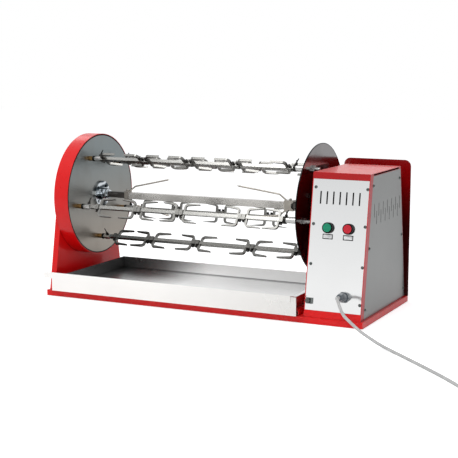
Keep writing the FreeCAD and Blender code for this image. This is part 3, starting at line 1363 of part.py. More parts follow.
def mains_plug(start, direction):
    """Boot, grip and round face with two pins; it lies on its face's rim and its boot."""
    flat = Vec(direction.x, direction.y, 0).normalize()

    def circle(distance, radius, height):
        centre = start + flat * distance
        return Part.Wire(Part.makeCircle(radius, Vec(centre.x, centre.y, height), flat))

    low = start.z
    high = PLUG_RADIUS
    boot = Part.makeLoft([circle(0, CORD / 2 + 1.5, low), circle(PLUG_BOOT, PLUG_GRIP_RADIUS - 3, (low + high) / 2)], True)
    grip = Part.makeLoft([circle(PLUG_BOOT, PLUG_GRIP_RADIUS, (low + high) / 2),
                          circle(PLUG_BOOT + PLUG_GRIP, PLUG_RADIUS - 2, high)], True)
    base = start + flat * (PLUG_BOOT + PLUG_GRIP)
    base.z = high
    face = Part.makeCylinder(PLUG_RADIUS, PLUG_FACE, base, flat)
    side = Z_AXIS
    pins = []
    for offset in (-PLUG_PIN_PITCH / 2, PLUG_PIN_PITCH / 2):
        foot = base + flat * (PLUG_FACE - 1) + side * offset
        pins.append(Part.makeCylinder(PLUG_PIN_RADIUS, PLUG_PIN + 1, foot, flat))
    return boot.fuse([grip, face] + pins)


def main():
    os.makedirs("parts", exist_ok=True)
    export("base_pan", *base_pan())
    export("rubber_feet", *rubber_feet())
    export("tray_rails", *tray_rails())
    export("drip_tray", drip_tray())
    export("stand_foot", stand_foot())
    export("gear_drum", gear_drum())
    export("sun_gear", sun_gear())
    export("flange_bearings", flange_bearing(STAND_RIGHT - SHEET, -1), flange_bearing(HOUSING_LEFT + SHEET, 1))
    export("frame_bolts", *frame_bolts())
    export("housing_body", housing_body())
    export("front_cover", front_cover())
    export("side_cover", side_cover())
    export("cover_screws", *cover_screws())
    export("bonding_clamp", bonding_clamp())
    export("heat_shield", heat_shield())
    export("shield_spacers", *shield_spacers())
    export("button_bezels", button_bezel(START_X), button_bezel(STOP_X))
    export("start_button", button_cap(START_X))
    export("stop_button", button_cap(STOP_X))
    export("contact_blocks", contact_block(START_X), contact_block(STOP_X))
    export("legend_plates", legend_plate(START_X), legend_plate(STOP_X))
    export("cable_gland", cable_gland())
    export("motor", motor())
    export("gearbox", gearbox())
    export("motor_pinion", motor_pinion())
    export("drive_gear", drive_gear())
    export("left_disc", left_disc())
    export("right_disc", right_disc())
    export("hub_flanges", hub_flange(LEFT_DISC_FACE, 1), hub_flange(RIGHT_DISC_FACE, -1))
    export("hub_fasteners", *(hub_fasteners(LEFT_DISC_FACE, 1) + hub_fasteners(RIGHT_DISC_FACE, -1)))
    export("left_axle", axle(STAND_LEFT + 2, LEFT_DISC_FACE, 1))
    export("right_axle", axle(DRIVE_GEAR_X + GEAR_WIDTH + 12, RIGHT_DISC_FACE, -1))
    export("centre_beam", centre_beam())
    export("left_clamp", *left_clamp())
    export("right_clamp", *right_clamp())
    places = [spit_place(k) for k in range(SPIT_COUNT)]
    export("disc_bushes", *[disc_bush(y, z) for direction, y, z in places])
    export("tail_studs", *[tail_stud(y, z) for direction, y, z in places])
    for index, letter in enumerate(SPITS):
        export("spit_" + letter + "_bar", spit_bar(index, letter))
        export("spit_" + letter + "_forks", *spit_forks(index, letter))
        export("spit_" + letter + "_clamps", *spit_clamps(index, letter))
        export("spit_" + letter + "_drive", *spit_drive(index, letter))
    run, run_length = cord_run()
    coil, tail, heading, coil_length = cord_coil()
    print("whole lead:", round(run_length + coil_length))
    export("cord_run", run)
    export("cord_coil", coil)
    export("mains_plug", mains_plug(tail, heading))


main()
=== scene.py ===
import math

import bmesh
import bpy
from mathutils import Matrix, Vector

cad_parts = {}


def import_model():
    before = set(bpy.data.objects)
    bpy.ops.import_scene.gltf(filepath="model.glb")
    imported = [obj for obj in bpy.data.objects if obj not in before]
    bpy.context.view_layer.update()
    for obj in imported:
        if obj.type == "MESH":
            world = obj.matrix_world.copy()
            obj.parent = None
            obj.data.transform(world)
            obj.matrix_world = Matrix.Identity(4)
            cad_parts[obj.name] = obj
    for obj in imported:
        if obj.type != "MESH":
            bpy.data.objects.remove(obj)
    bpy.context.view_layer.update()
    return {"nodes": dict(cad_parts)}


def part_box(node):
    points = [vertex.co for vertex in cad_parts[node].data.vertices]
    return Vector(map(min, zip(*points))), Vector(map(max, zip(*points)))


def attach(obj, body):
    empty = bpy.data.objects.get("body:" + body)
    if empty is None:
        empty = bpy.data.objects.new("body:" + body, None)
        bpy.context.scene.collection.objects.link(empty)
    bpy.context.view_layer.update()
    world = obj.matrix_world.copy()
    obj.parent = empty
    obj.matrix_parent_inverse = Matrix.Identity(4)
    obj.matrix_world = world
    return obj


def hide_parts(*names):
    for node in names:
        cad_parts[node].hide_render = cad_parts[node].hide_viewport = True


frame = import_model()
NODES = frame["nodes"]
scene = bpy.context.scene
scene.view_settings.view_transform = "Standard"
X, Y, Z = 0, 1, 2

# Camera, fitted to the object's edges
SENSOR = 36.0
FOCAL_PIXELS = 1165.37
PICTURE_PIXELS = 458
CAMERA_PLACE = (1.50125, -3.04007, 0.72645)
CAMERA_TILT_DOWN = 8.68
CAMERA_TURN_LEFT = 26.09


def add_camera():
    data = bpy.data.cameras.new("camera")
    data.sensor_width = SENSOR
    data.lens = FOCAL_PIXELS / PICTURE_PIXELS * SENSOR
    data.clip_end = 60.0
    camera = bpy.data.objects.new("camera", data)
    camera.location = CAMERA_PLACE
    camera.rotation_euler = (math.radians(90 - CAMERA_TILT_DOWN), 0.0, math.radians(CAMERA_TURN_LEFT))
    scene.collection.objects.link(camera)
    scene.camera = camera


add_camera()


# Node helpers
def add_node(tree, kind, inputs=None, **settings):
    """Adds a node; inputs gives each socket its value, or the output that feeds it."""
    node = tree.nodes.new(kind)
    for name, value in settings.items():
        setattr(node, name, value)
    for socket, value in (inputs or {}).items():
        if isinstance(value, bpy.types.NodeSocket):
            tree.links.new(value, node.inputs[socket])
        else:
            node.inputs[socket].default_value = value
    return node


def combine(tree, operation, first, *others):
    """Joins values by one math operation, from left to right."""
    for other in others:
        first = add_node(tree, "ShaderNodeMath", {0: first, 1: other}, operation=operation).outputs[0]
    return first


def scaled(colour, factor):
    return tuple(min(c * factor, 1.0) for c in colour)


# Places that the paint follows, in metres as in the CAD
AXIS_HEIGHT = 0.291
DISC_RADIUS = 0.1815
DISC_EDGE_SHADE = 0.002
DRUM_INNER = 0.1833
DRUM_BACK = -0.474
HOUSING_INNER_LEFT = 0.3303
HOUSING_INNER_RIGHT = 0.4907
HOUSING_INNER_TOP = 0.4037
HOUSING_INNER_BOTTOM = 0.0196
# The leaning inner faces: the direction measured along, the place on it and which side is inside
HOUSING_INNER_FRONT = ((0, 1, -0.1589), -0.1916, 1)
HOUSING_INNER_BACK = ((0, 1, 0.1672), 0.1921, -1)
HOUSING_SIDE_EDGE = 0.4916
BAND_BOTTOM = 0.3873
BAND_TOP = 0.4045
SHIELD_MIDDLE = 0.1947
TRAY_FRONT_WALL = -0.195
TRAY_FOLD_HEIGHTS = (0.0367, 0.0395)
STEP_BLUR = 0.0001
RED = (0.72, 0.004, 0.005)
BLACK = (0.004, 0.004, 0.004)


class Shader:
    """A node material with one Principled shader and a few chained helpers."""

    def __init__(self, name, colour, rough, metal=0.0, **sockets):
        self.material = bpy.data.materials.new(name)
        self.material.use_nodes = True
        self.tree = self.material.node_tree
        self.principled = self.tree.nodes["Principled BSDF"]
        values = {"Base Color": (*colour, 1.0), "Roughness": rough, "Metallic": metal}
        for socket, value in sockets.items():
            values[socket.replace("_", " ")] = value
        for socket, value in values.items():
            self.principled.inputs[socket].default_value = value

    def add(self, kind, inputs=None, **settings):
        return add_node(self.tree, kind, inputs, **settings)

    def feed(self, socket, value):
        self.tree.links.new(value, self.principled.inputs[socket])
        return self

    def place(self):
        return self.add("ShaderNodeTexCoord").outputs["Object"]

    def noise(self, size, stretch=(1.0, 1.0, 1.0), detail=4.0, rough=0.55):
        """Noise whose blobs are about size metres across, drawn out by stretch."""
        scale = self.add("ShaderNodeMapping", {"Vector": self.place(), "Scale": [1.0 / s for s in stretch]})
        texture = self.add("ShaderNodeTexNoise", {"Vector": scale.outputs["Vector"], "Scale": 1.0 / size,
                                                  "Detail": detail, "Roughness": rough})
        return texture.outputs["Fac"]

    def ramp(self, value, *stops):
        """A ramp over value; a stop is (place, grey) or (place, (r, g, b))."""
        ramp = self.add("ShaderNodeValToRGB", {"Fac": value})
        elements = ramp.color_ramp.elements
        while len(elements) < len(stops):
            elements.new(0.5)
        for element, (place, shade) in zip(elements, stops):
            element.position = place
            element.color = (*shade, 1.0) if isinstance(shade, tuple) else (shade, shade, shade, 1.0)
        return ramp.outputs["Color"]

    def mixed(self, factor, first, second, blend_type="MIX"):
        """First colour where factor is 0 and second where it is 1."""
        first, second = [(*c, 1.0) if isinstance(c, tuple) else c for c in (first, second)]
        mix = self.add("ShaderNodeMix", {"Factor": factor, 6: first, 7: second}, data_type="RGBA",
                       blend_type=blend_type)
        return mix.outputs[2]

    def painted(self):
        """What feeds the base colour so far."""
        return self.principled.inputs["Base Color"].links[0].from_socket

    def paint(self, colour):
        return self.feed("Base Color", colour)

    def paint_over(self, factor, colour):
        """Another base colour where factor is 1."""
        return self.paint(self.mixed(factor, self.painted(), colour))

    def tint(self, value, low, high, start=0.3, end=0.7):
        """Base colour between low and high as value goes from start to end."""
        return self.paint(self.ramp(value, (start, low), (end, high)))

    def roughness(self, value, low, high):
        return self.feed("Roughness", self.ramp(value, (0.3, low), (0.7, high)))

    def painted_seam_shade(self, reach=0.008, dark=0.3):
        """Darkens the base colour in corners and joins: painted shade, from ambient occlusion."""
        hollow = self.add("ShaderNodeAmbientOcclusion", {"Distance": reach}, samples=8)
        shade = self.ramp(hollow.outputs["AO"], (0.25, dark), (0.75, 1.0))
        return self.paint(self.mixed(1.0, self.painted(), shade, "MULTIPLY"))

    def bump(self, value, depth):
        """Relief of about depth metres."""
        bump = self.add("ShaderNodeBump", {"Strength": 1.0, "Distance": depth, "Height": value})
        return self.feed("Normal", bump.outputs["Normal"])

    def step(self, value, start, end):
        step = self.add("ShaderNodeMapRange", {"Value": value, "From Min": start, "From Max": end})
        return step.outputs["Result"]

    def along(self, axis, start, end):
        """0 at start and 1 at end along an axis."""
        parts = self.add("ShaderNodeSeparateXYZ", {0: self.place()})
        return self.step(parts.outputs[axis], start, end)

    def past(self, axis, place, sign=1, blur=STEP_BLUR):
        """0 before a place along an axis and 1 past it, or the other way round with sign -1."""
        return self.along(axis, place - sign * blur, place + sign * blur)

    def past_slope(self, direction, place, sign):
        """The same, measured along any direction."""
        dot = self.add("ShaderNodeVectorMath", {0: self.place(), 1: direction}, operation="DOT_PRODUCT")
        return self.step(dot.outputs["Value"], place - sign * STEP_BLUR, place + sign * STEP_BLUR)

    def outside(self, radius, blur=0.0003):
        """0 within a radius of the carousel's axis and 1 outside it."""
        offset = self.add("ShaderNodeVectorMath", {0: self.place(), 1: (0.0, 0.0, AXIS_HEIGHT)},
                          operation="SUBTRACT")
        flat = self.add("ShaderNodeVectorMath", {0: offset.outputs[0], 1: (0.0, 1.0, 1.0)},
                        operation="MULTIPLY")
        length = self.add("ShaderNodeVectorMath", {0: flat.outputs[0]}, operation="LENGTH")
        return self.step(length.outputs["Value"], radius - blur, radius + blur)


# Finishes
def powder_coat(name, colour, rough=0.3, coat=0.2):
    """Glossy sheet paint with faint orange peel."""
    shader = Shader(name, colour, rough, Coat_Weight=coat, Coat_Roughness=0.05, Specular_IOR_Level=0.22)
    shader.tint(shader.noise(0.15), scaled(colour, 0.94), scaled(colour, 1.04))
    shader.roughness(shader.noise(0.02), rough - 0.03, rough + 0.05)
    return shader.bump(shader.noise(0.004, detail=1.0), 0.000012)


def brushed(name, colour, rough, along, grain=0.0008, depth=0.000004, spread=0.05):
    """Sheet or bar metal brushed along an axis."""
    shader = Shader(name, colour, rough, 1.0)
    stretch = [1.0, 1.0, 1.0]
    stretch[along] = 60.0
    lines = shader.noise(grain, stretch, detail=3.0, rough=0.7)
    cloud = shader.noise(0.2, detail=3.0)
    streaks = shader.ramp(lines, (0.2, scaled(colour, 1 - spread)), (0.8, scaled(colour, 1 + spread)))
    stains = shader.ramp(cloud, (0.3, scaled(colour, 0.93)), (0.7, scaled(colour, 1.03)))
    shader.paint(shader.mixed(0.5, streaks, stains))
    shader.roughness(cloud, rough - 0.03, rough + 0.04)
    return shader.bump(lines, depth)


def cast(name, colour, rough=0.6, metal=0.3):
    """Cast metal with a coarse skin."""
    shader = Shader(name, colour, rough, metal)
    shader.tint(shader.noise(0.01), scaled(colour, 0.8), scaled(colour, 1.15))
    return shader.bump(shader.noise(0.0014, detail=5.0), 0.0002)


def moulded(name, colour, rough=0.42, grain=0.0009, depth=0.00004, shine=0.4):
    """Moulded plastic or rubber."""
    shader = Shader(name, colour, rough, Specular_IOR_Level=shine)
    shader.tint(shader.noise(0.02), scaled(colour, 0.88), scaled(colour, 1.08))
    shader.roughness(shader.noise(0.004), rough - 0.05, rough + 0.08)
    return shader.bump(shader.noise(grain, detail=3.0), depth)


def turned(name, colour, rough):
    """Turned or plated steel: rings round X, slight smears and painted shade in corners."""
    shader = Shader(name, colour, rough, 1.0)
    shader.tint(shader.noise(0.03, detail=3.0), scaled(colour, 0.9), scaled(colour, 1.05))
    shader.roughness(shader.noise(0.01), rough - 0.03, rough + 0.06)
    shader.bump(shader.noise(0.0006, (1.0, 40.0, 40.0), detail=2.0), 0.000005)
    return shader.painted_seam_shade(0.006, 0.2)


def chrome_plate():
    """Plated steel with painted reflections: dark patches between bright bands, and painted shade in corners.
    """
    shader = Shader("chrome", (0.6, 0.62, 0.64), 0.1, 1.0)
    # Painted reflection: dark and bright bands that stand in for the studio mirrored in the plate.
    bands = shader.noise(0.01, (4.0, 4.0, 1.0), detail=1.0)
    shader.tint(bands, (0.05, 0.065, 0.075), (0.72, 0.76, 0.79), 0.4, 0.58)
    return shader.painted_seam_shade(0.006, 0.15)


def drum_paint():
    """Powder coat outside the drum, near black inside it as painted shade, and painted shade in corners."""
    shader = powder_coat("drum_paint", RED)
    # Painted shade: near black within the drum's inner radius, in front of its back sheet.
    clear_of_painted_shade = combine(shader.tree, "MAXIMUM", shader.outside(DRUM_INNER), shader.past(X, DRUM_BACK, -1, 0.0002))
    shader.paint(shader.mixed(clear_of_painted_shade, (0.012, 0.01, 0.01), shader.painted()))
    return shader.painted_seam_shade()


def housing_paint():
    """Powder coat with painted shade: a darker band round the top, a darker metallic right edge, black on the
    inner faces, shade in corners.
    """
    shader = powder_coat("housing_paint", RED)
    # Painted shade: the right edge is darker red and metallic.
    edge = shader.past(X, HOUSING_SIDE_EDGE, blur=0.0002)
    shader.feed("Metallic", edge)
    shader.paint_over(edge, (0.38, 0.012, 0.02))
    # Painted shade: a darker band round the top.
    band = combine(shader.tree, "MULTIPLY", shader.past(Z, BAND_BOTTOM, blur=0.0003),
                   shader.past(Z, BAND_TOP, -1, 0.0002))
    shader.paint_over(band, (0.4, 0.004, 0.006))
    # Painted shade: black on the inner faces, seen through the vents.
    inside = combine(shader.tree, "MULTIPLY", shader.past(X, HOUSING_INNER_LEFT),
                     shader.past(X, HOUSING_INNER_RIGHT, -1), shader.past(Z, HOUSING_INNER_TOP, -1),
                     shader.past(Z, HOUSING_INNER_BOTTOM), shader.past_slope(*HOUSING_INNER_FRONT),
                     shader.past_slope(*HOUSING_INNER_BACK))
    shader.paint_over(inside, BLACK)
    return shader.painted_seam_shade()


def shield_paint():
    """Red behind; in front painted shade: deep red, and darker down there, where the housing shades it."""
    # Painted shade: the front colour is a shaded copy of the red paint.
    shader = powder_coat("dark_red_paint", (0.24, 0.0, 0.001))
    shader.paint_over(shader.along(Z, 0.395, 0.22), (0.035, 0.0, 0.0))
    return shader.paint_over(shader.past(Y, SHIELD_MIDDLE, blur=0.0005), RED)


def front_sheet():
    """Satin cover sheet, a little darker towards its top, with painted shade in corners."""
    shader = brushed("front_sheet", (0.86, 0.865, 0.865), 0.08, X, grain=0.003, depth=0.0000005, spread=0.01)
    shader.paint_over(shader.along(Z, 0.1, 0.4), (0.68, 0.69, 0.695))
    return shader.painted_seam_shade(0.005)


def tray_sheet():
    """Brushed tray, a little darker towards the housing; inside a painted reflection, dark towards the drum,
    and painted shade along the fold and in corners.
    """
    shader = brushed("tray_sheet", (0.86, 0.845, 0.82), 0.24, X, grain=0.003, depth=0.000001, spread=0.02)
    shader.paint_over(shader.along(X, -0.1, 0.31), (0.7, 0.69, 0.67))
    # Painted reflection inside the tray: dark towards the drum, brightest in the middle.
    painted_reflection = shader.ramp(shader.along(X, -0.45, 0.31), (0.0, 0.1), (0.1, 0.25), (0.22, 0.34), (0.33, 0.71),
                        (0.42, 0.9), (0.52, 0.84), (0.65, 0.78), (0.8, 0.74), (1.0, 0.7))
    # Painted shade: a dark line along the fold between wall and floor.
    fold = shader.ramp(shader.along(Z, *TRAY_FOLD_HEIGHTS), (0.0, 0.0), (0.3, 0.75), (0.7, 0.75), (1.0, 0.0))
    painted_reflection = shader.mixed(fold, painted_reflection, (0.06, 0.06, 0.06))
    shader.paint_over(shader.past(Y, TRAY_FRONT_WALL, blur=0.002), painted_reflection)
    return shader.painted_seam_shade(0.012, 0.45)


def disc_sheet(name, colour, lower_colour, rough):
    """Ground sheet disc with a near-black ring at its edge as painted shade, one colour at the top blending to
    another lower down.
    """
    shader = Shader(name, colour, rough, 1.0)
    cloud = shader.noise(0.14, (1.0, 1.0, 1.6), detail=3.0)
    base = shader.mixed(shader.along(Z, AXIS_HEIGHT + 0.12, AXIS_HEIGHT - 0.12), colour, lower_colour)
    base = shader.mixed(shader.ramp(cloud, (0.5, 0.0), (0.75, 0.35)), base, scaled(lower_colour, 0.6))
    # Painted shade: a near-black ring at the rim stands in for the shadowed gap round the disc.
    shader.paint(shader.mixed(shader.outside(DISC_RADIUS - DISC_EDGE_SHADE), base, (0.008, 0.008, 0.008)))
    shader.roughness(cloud, rough - 0.03, rough + 0.06)
    return shader.bump(shader.noise(0.0009, (1.0, 1.0, 30.0), detail=2.0), 0.000004)


def drawn(name, colour, rough, along, grain=0.003, spread=0.03):
    """Drawn bar or strip with fine long lines."""
    return brushed(name, colour, rough, along, grain=grain, depth=0.000001, spread=spread)


MATERIALS = {
    # Red paint with painted shade in corners.
    "red": powder_coat("red_paint", RED).painted_seam_shade(),
    "drum_red": drum_paint(),
    "housing_red": housing_paint(),
    "shield_shade": shield_paint(),
    "front_sheet": front_sheet(),
    "side_sheet": brushed("side_sheet", (0.26, 0.264, 0.26), 0.36, Z, spread=0.03),
    "tray_sheet": tray_sheet(),
    "zinc": turned("zinc_plate", (0.5, 0.5, 0.49), 0.28),
    "chrome": chrome_plate(),
    "screw": turned("screw_steel", (0.11, 0.125, 0.12), 0.25),
    "bronze": turned("bronze", (0.34, 0.2, 0.08), 0.3),
    "dark_steel": turned("dark_steel", (0.09, 0.085, 0.08), 0.36),
    "black_steel": turned("black_steel", (0.025, 0.024, 0.023), 0.36),
    "bar": drawn("bar_steel", (0.3, 0.298, 0.285), 0.26, X),
    "beam": drawn("beam_steel", (0.55, 0.535, 0.51), 0.26, X, spread=0.02),
    "clamp": drawn("clamp_steel", (0.36, 0.335, 0.3), 0.3, Z, spread=0.04),
    "fork": drawn("fork_steel", (0.2, 0.198, 0.188), 0.28, X, grain=0.004, spread=0.05),
    "gear": turned("gear_steel", (0.3, 0.3, 0.31), 0.35),
    "cast": cast("cast_grey", (0.12, 0.125, 0.13)),
    "alloy": cast("cast_alloy", (0.4, 0.41, 0.42), 0.45, 0.8),
    "rubber": moulded("rubber", (0.018, 0.018, 0.018), 0.75, 0.002, 0.0002),
    "black_plastic": moulded("black_plastic", (0.004, 0.004, 0.005), 0.5, shine=0.08),
    "grey_plastic": moulded("grey_plastic", (0.095, 0.11, 0.125), 0.35),
    "green_cap": moulded("green_cap", (0.0, 0.23, 0.12), 0.3, 0.004, 0.00002),
    "red_cap": moulded("red_cap", (0.55, 0.01, 0.025), 0.3, 0.004, 0.00002),
    "white_plate": moulded("white_plate", (0.8, 0.8, 0.8), 0.35, 0.003, 0.00002),
    "lead": moulded("lead_sheath", (0.5, 0.5, 0.49), 0.42, 0.0012, 0.00005),
    "left_disc": disc_sheet("left_disc_sheet", (0.24, 0.27, 0.275), (0.305, 0.275, 0.24), 0.3),
    # The right disc's lower colour is near black: painted shade.
    "right_disc": disc_sheet("right_disc_sheet", (0.28, 0.265, 0.265), (0.08, 0.07, 0.066), 0.14),
}
FINISH = {
    "base_pan": "red", "stand_foot": "red", "gear_drum": "drum_red", "housing_body": "housing_red",
    "heat_shield": "shield_shade", "front_cover": "front_sheet", "side_cover": "side_sheet",
    "drip_tray": "tray_sheet", "tray_rails": "red", "rubber_feet": "rubber", "frame_bolts": "zinc",
    "cover_screws": "screw", "shield_spacers": "zinc", "bonding_clamp": "screw", "sun_gear": "gear",
    "flange_bearings": "cast", "gearbox": "alloy", "motor": "cast", "button_bezels": "black_plastic",
    "legend_plates": "white_plate", "contact_blocks": "black_plastic", "cable_gland": "grey_plastic",
    "mains_plug": "black_plastic", "cord_run": "lead", "cord_coil": "lead", "left_disc": "left_disc",
    "right_disc": "right_disc", "hub_flanges": "chrome", "hub_fasteners": "chrome", "left_axle": "dark_steel",
    "right_axle": "dark_steel", "centre_beam": "beam", "drive_gear": "gear", "disc_bushes": "bronze",
    "tail_studs": "zinc", "motor_pinion": "gear", "start_button": "green_cap", "stop_button": "red_cap",
    "left_clamp": "clamp", "right_clamp": "clamp",
}
SPIT_FINISH = {"bar": "bar", "forks": "fork", "clamps": "black_steel", "drive": "zinc"}


def finish_of(node):
    if node.startswith("spit_"):
        return SPIT_FINISH[node.rsplit("_", 1)[1]]
    return FINISH[node]


for node, piece in NODES.items():
    for material_slot in piece.material_slots:
        material_slot.material = MATERIALS[finish_of(node)].material


def add_piece(name, data, material):
    """An object of the scene's own that rides on the base."""
    piece = bpy.data.objects.new(name, data)
    scene.collection.objects.link(piece)
    data.materials.append(MATERIALS[material].material)
    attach(piece, "base")
    return piece


def mesh_piece(name, mesh, material):
    bmesh.ops.recalc_face_normals(mesh, faces=mesh.faces)
    data = bpy.data.meshes.new(name)
    mesh.to_mesh(data)
    mesh.free()
    for face in data.polygons:
        face.use_smooth = True
    return add_piece(name, data, material)


# Mains lead: straight out of the gland, down to the floor, along it and into a tied coil
CORD = 0.008
GLAND_TIP = Vector((0.441, -0.21749, 0.08496))
EXIT_DIRECTION = Vector((0.0, -0.98760, 0.15697))
EXIT_LENGTH = 0.023
CORD_ROUTE = [
    (0.455, -0.266, 0.091),
    (0.469, -0.287, 0.077),
    (0.483, -0.295, 0.0565),
    (0.505, -0.307, 0.0455),
    (0.534, -0.3225, 0.0305),
    (0.567, -0.344, 0.0215),
    (0.609, -0.372, 0.0115),
    (0.651, -0.393, 0.004),
    (0.687, -0.427, 0.004),
    (0.728, -0.466, 0.004),
    (0.772, -0.509, 0.004),
    (0.822, -0.558, 0.004),
    (0.870, -0.611, 0.004),
]
COIL_ENTRY = (0.914, -0.656, 0.004)
COIL_RADIUS = 0.052
COIL_STEP = 0.0086
COIL_TURNS_PER_LAYER = 1.75
COIL_CLIMB_TURNS = 0.5
COIL_MIDDLE_TURN = COIL_TURNS_PER_LAYER + COIL_CLIMB_TURNS / 2
COIL_TAIL = 0.024
COIL_POINTS = 16


def coil_frame():
    """The lead's heading where it enters the coil, and the coil's centre."""
    heading = math.atan2(COIL_ENTRY[1] - CORD_ROUTE[-1][1], COIL_ENTRY[0] - CORD_ROUTE[-1][0])
    centre_x = COIL_ENTRY[0] - COIL_RADIUS * math.sin(heading)
    centre_y = COIL_ENTRY[1] + COIL_RADIUS * math.cos(heading)
    return heading, centre_x, centre_y


def coil_points():
    """Control points round the coil, a little outside its line because the spline cuts inside."""
    heading, centre_x, centre_y = coil_frame()
    points = []
    for k in range(1, round(2 * COIL_MIDDLE_TURN * COIL_POINTS) + 1):
        turn = k / COIL_POINTS
        radius = COIL_RADIUS - COIL_STEP * (COIL_MIDDLE_TURN - abs(turn - COIL_MIDDLE_TURN))
        radius /= math.cos(math.pi / COIL_POINTS)
        climb = min(max((turn - COIL_TURNS_PER_LAYER) / COIL_CLIMB_TURNS, 0.0), 1.0)
        height = CORD / 2 + COIL_STEP * climb * climb * (3 - 2 * climb)
        around = heading - math.pi / 2 + 2 * math.pi * turn
        x = centre_x + radius * math.cos(around)
        y = centre_y + radius * math.sin(around)
        points.append(Vector((x, y, height)))
    return points


def mains_lead():
    turns = coil_points()
    tail = turns[-1] + (turns[-1] - turns[-2]).normalized() * COIL_TAIL
    tail.z = turns[-1].z
    route = [GLAND_TIP, GLAND_TIP + EXIT_DIRECTION * EXIT_LENGTH, *CORD_ROUTE, COIL_ENTRY, *turns, tail]
    curve = bpy.data.curves.new("mains_lead", "CURVE")
    curve.dimensions = "3D"
    curve.bevel_depth = CORD / 2
    curve.bevel_resolution = 6
    curve.resolution_u = 8
    curve.use_fill_caps = True
    spline = curve.splines.new("NURBS")
    spline.points.add(len(route) - 1)
    for point, place in zip(spline.points, route):
        point.co = (*place, 1.0)
    spline.order_u = 3
    spline.use_endpoint_u = True
    return add_piece("mains_lead", curve, "lead")


TIE_STEPS = 40
TIE_HALF_WIDTH = 0.004
TIE_THICK = 0.0009
TIE_GAP_OUTSIDE = 0.0006
TIE_GAP_INSIDE = 0.0004
TIE_SQUARENESS = 0.45


def coil_tie():
    """A flat strap round the coil's section: a squarish loop that follows the bundle."""
    heading, centre_x, centre_y = coil_frame()
    centre = Vector((centre_x, centre_y, 0.0))
    out = Vector((math.cos(heading + math.pi / 2), math.sin(heading + math.pi / 2), 0.0))
    along = Vector((-out.y, out.x, 0.0))
    low = TIE_GAP_OUTSIDE
    high = CORD + COIL_STEP + TIE_GAP_INSIDE
    outer = COIL_RADIUS + CORD / 2 + TIE_GAP_OUTSIDE
    inner = COIL_RADIUS - COIL_STEP * COIL_MIDDLE_TURN - CORD / 2 - TIE_GAP_INSIDE
    middle_r, middle_z = (outer + inner) / 2, (low + high) / 2
    half_r, half_z = (outer - inner) / 2, (high - low) / 2
    section = [(-TIE_HALF_WIDTH, 0.0), (TIE_HALF_WIDTH, 0.0), (TIE_HALF_WIDTH, TIE_THICK),
               (-TIE_HALF_WIDTH, TIE_THICK)]
    mesh = bmesh.new()
    rings = []
    for k in range(TIE_STEPS):
        angle = 2 * math.pi * k / TIE_STEPS
        c, s = math.cos(angle), math.sin(angle)
        r = middle_r + half_r * math.copysign(abs(c) ** TIE_SQUARENESS, c)
        z = middle_z + half_z * math.copysign(abs(s) ** TIE_SQUARENESS, s)
        ring = []
        for width, lift in section:
            inward = Vector((middle_r - r, middle_z - z)).normalized() * lift
            place = centre + out * (r + inward.x) + along * width
            ring.append(mesh.verts.new(place + Vector((0.0, 0.0, z + inward.y))))
        rings.append(ring)
    for first, second in zip(rings, rings[1:] + rings[:1]):
        for j in range(4):
            mesh.faces.new((first[j], first[(j + 1) % 4], second[(j + 1) % 4], second[j]))
    return mesh_piece("coil_tie", mesh, "black_plastic")


lead = mains_lead()
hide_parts("cord_run", "cord_coil")
tie = coil_tie()


# Legend frames: a thin dark line round each bare plate
FRONT_LEAN = math.atan2(0.0614, 0.3863)
LEGEND_HALF_WIDTH = 0.0143
LEGEND_HALF_HEIGHT = 0.0068
LEGEND_LINE = 0.002
LEGEND_PROUD = 0.00042
LEGEND_HALF_THICK = 0.0002


def legend_frame(name, x):
    low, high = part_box("legend_plates")
    side = Vector((1, 0, 0))
    up = Vector((0, math.sin(FRONT_LEAN), math.cos(FRONT_LEAN)))
    out = Vector((0, -math.cos(FRONT_LEAN), math.sin(FRONT_LEAN)))
    centre = Vector((x, (low.y + high.y) / 2, (low.z + high.z) / 2)) + out * LEGEND_PROUD
    bars = ((side, up, LEGEND_HALF_WIDTH, LEGEND_HALF_HEIGHT),
            (up, side, LEGEND_HALF_HEIGHT, LEGEND_HALF_WIDTH))
    mesh = bmesh.new()
    for sign in (-1, 1):
        for along, across, length, offset in bars:
            middle = centre + across * (sign * (offset - LEGEND_LINE / 2))
            corners = [middle + along * (a * length) + across * (b * LEGEND_LINE / 2)
                       for a, b in ((-1, -1), (1, -1), (1, 1), (-1, 1))]
            front = [mesh.verts.new(corner + out * LEGEND_HALF_THICK) for corner in corners]
            back = [mesh.verts.new(corner - out * LEGEND_HALF_THICK) for corner in corners]
            mesh.faces.new(front)
            mesh.faces.new(back[::-1])
            for j in range(4):
                mesh.faces.new((front[j], back[j], back[(j + 1) % 4], front[(j + 1) % 4]))
    piece = mesh_piece(name, mesh, "black_plastic")


legend_frame("legend_frame_start", 0.383)
legend_frame("legend_frame_stop", 0.441)

# Studio: white floor and surroundings, a large lamp above, one beside the camera and one behind
FLOOR_REACH = 9
FLOOR_GREY = 0.86
FLOOR_GLOW = 0.66
FLOOR_MIRROR_GLOW = 0.38
WORLD_LIGHT = (0.95, 0.97, 1.0, 1.0)
WORLD_STRENGTH = 0.42
# A dim side of the studio gives the metal its contrast: its direction, where it starts and how dark it gets
DIM_SIDE = (0.86, -0.5, -0.05)
DIM_START = 0.66
DIM_END = 0.9
DIM_STRENGTH = 0.12
WHITE = (1.0, 1.0, 1.0, 1.0)


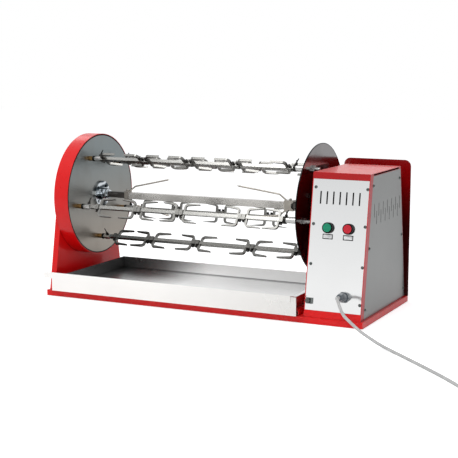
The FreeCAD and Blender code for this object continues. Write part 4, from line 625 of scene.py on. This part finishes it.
def floor_material():
    """Diffuse floor that camera rays see a little brighter, and mirror and glass rays a bit less so."""
    material = bpy.data.materials.new("floor")
    material.use_nodes = True
    tree = material.node_tree
    tree.nodes.clear()
    grey = (FLOOR_GREY, FLOOR_GREY, FLOOR_GREY, 1.0)
    diffuse = add_node(tree, "ShaderNodeBsdfDiffuse", {"Color": grey})
    rays = add_node(tree, "ShaderNodeLightPath").outputs
    mirrored = combine(tree, "MAXIMUM", rays["Is Glossy Ray"], rays["Is Transmission Ray"])
    mirrored = combine(tree, "MULTIPLY", mirrored, FLOOR_MIRROR_GLOW)
    strength = add_node(tree, "ShaderNodeMath", {0: rays["Is Camera Ray"], 1: FLOOR_GLOW, 2: mirrored},
                        operation="MULTIPLY_ADD")
    glow = add_node(tree, "ShaderNodeEmission", {"Color": WHITE, "Strength": strength.outputs[0]})
    both = add_node(tree, "ShaderNodeAddShader", {0: diffuse.outputs[0], 1: glow.outputs[0]})
    add_node(tree, "ShaderNodeOutputMaterial", {"Surface": both.outputs[0]})
    return material


def floor():
    data = bpy.data.meshes.new("floor")
    corners = [(x * FLOOR_REACH, y * FLOOR_REACH, 0) for x, y in ((-1, -1), (1, -1), (1, 1), (-1, 1))]
    data.from_pydata(corners, [], [(0, 1, 2, 3)])
    data.materials.append(floor_material())
    piece = bpy.data.objects.new("floor", data)
    scene.collection.objects.link(piece)


def world():
    """White to the camera and in mirrors, except for the dim side, and softer as a light."""
    scene.world = bpy.data.worlds.new("studio")
    scene.world.use_nodes = True
    tree = scene.world.node_tree
    tree.nodes.clear()
    rays = add_node(tree, "ShaderNodeLightPath").outputs
    seen_rays = combine(tree, "MAXIMUM", rays["Is Camera Ray"], rays["Is Glossy Ray"],
                        rays["Is Transmission Ray"])
    direction = add_node(tree, "ShaderNodeTexCoord").outputs["Generated"]
    facing = add_node(tree, "ShaderNodeVectorMath", {0: direction, 1: DIM_SIDE}, operation="DOT_PRODUCT")
    dim = add_node(tree, "ShaderNodeMapRange", {"Value": facing.outputs["Value"], "From Min": DIM_START,
                                                "From Max": DIM_END, "To Min": 1.0, "To Max": DIM_STRENGTH})
    strength = combine(tree, "MAXIMUM", dim.outputs["Result"], rays["Is Camera Ray"])
    seen = add_node(tree, "ShaderNodeBackground", {"Color": WHITE, "Strength": strength})
    light = add_node(tree, "ShaderNodeBackground", {"Color": WORLD_LIGHT, "Strength": WORLD_STRENGTH})
    mix = add_node(tree, "ShaderNodeMixShader", {"Fac": seen_rays, 1: light.outputs[0], 2: seen.outputs[0]})
    add_node(tree, "ShaderNodeOutputWorld", {"Surface": mix.outputs[0]})


def lamp(name, place, aim, size, power):
    data = bpy.data.lights.new(name, "AREA")
    data.shape = "RECTANGLE"
    data.size, data.size_y = size
    data.energy = power
    piece = bpy.data.objects.new(name, data)
    piece.location = place
    piece.rotation_euler = (Vector(aim) - Vector(place)).to_track_quat("-Z", "Y").to_euler()
    scene.collection.objects.link(piece)


floor()
world()
lamp("key", (-0.6, -1.8, 3.2), (0, 0, 0.25), (2.0, 1.4), 62)
lamp("fill", (2.2, -3.4, 1.5), (0, 0, 0.2), (3.2, 2.4), 32)
lamp("rim", (-2.6, 1.6, 2.0), (0, 0, 0.3), (1.4, 1.4), 10)
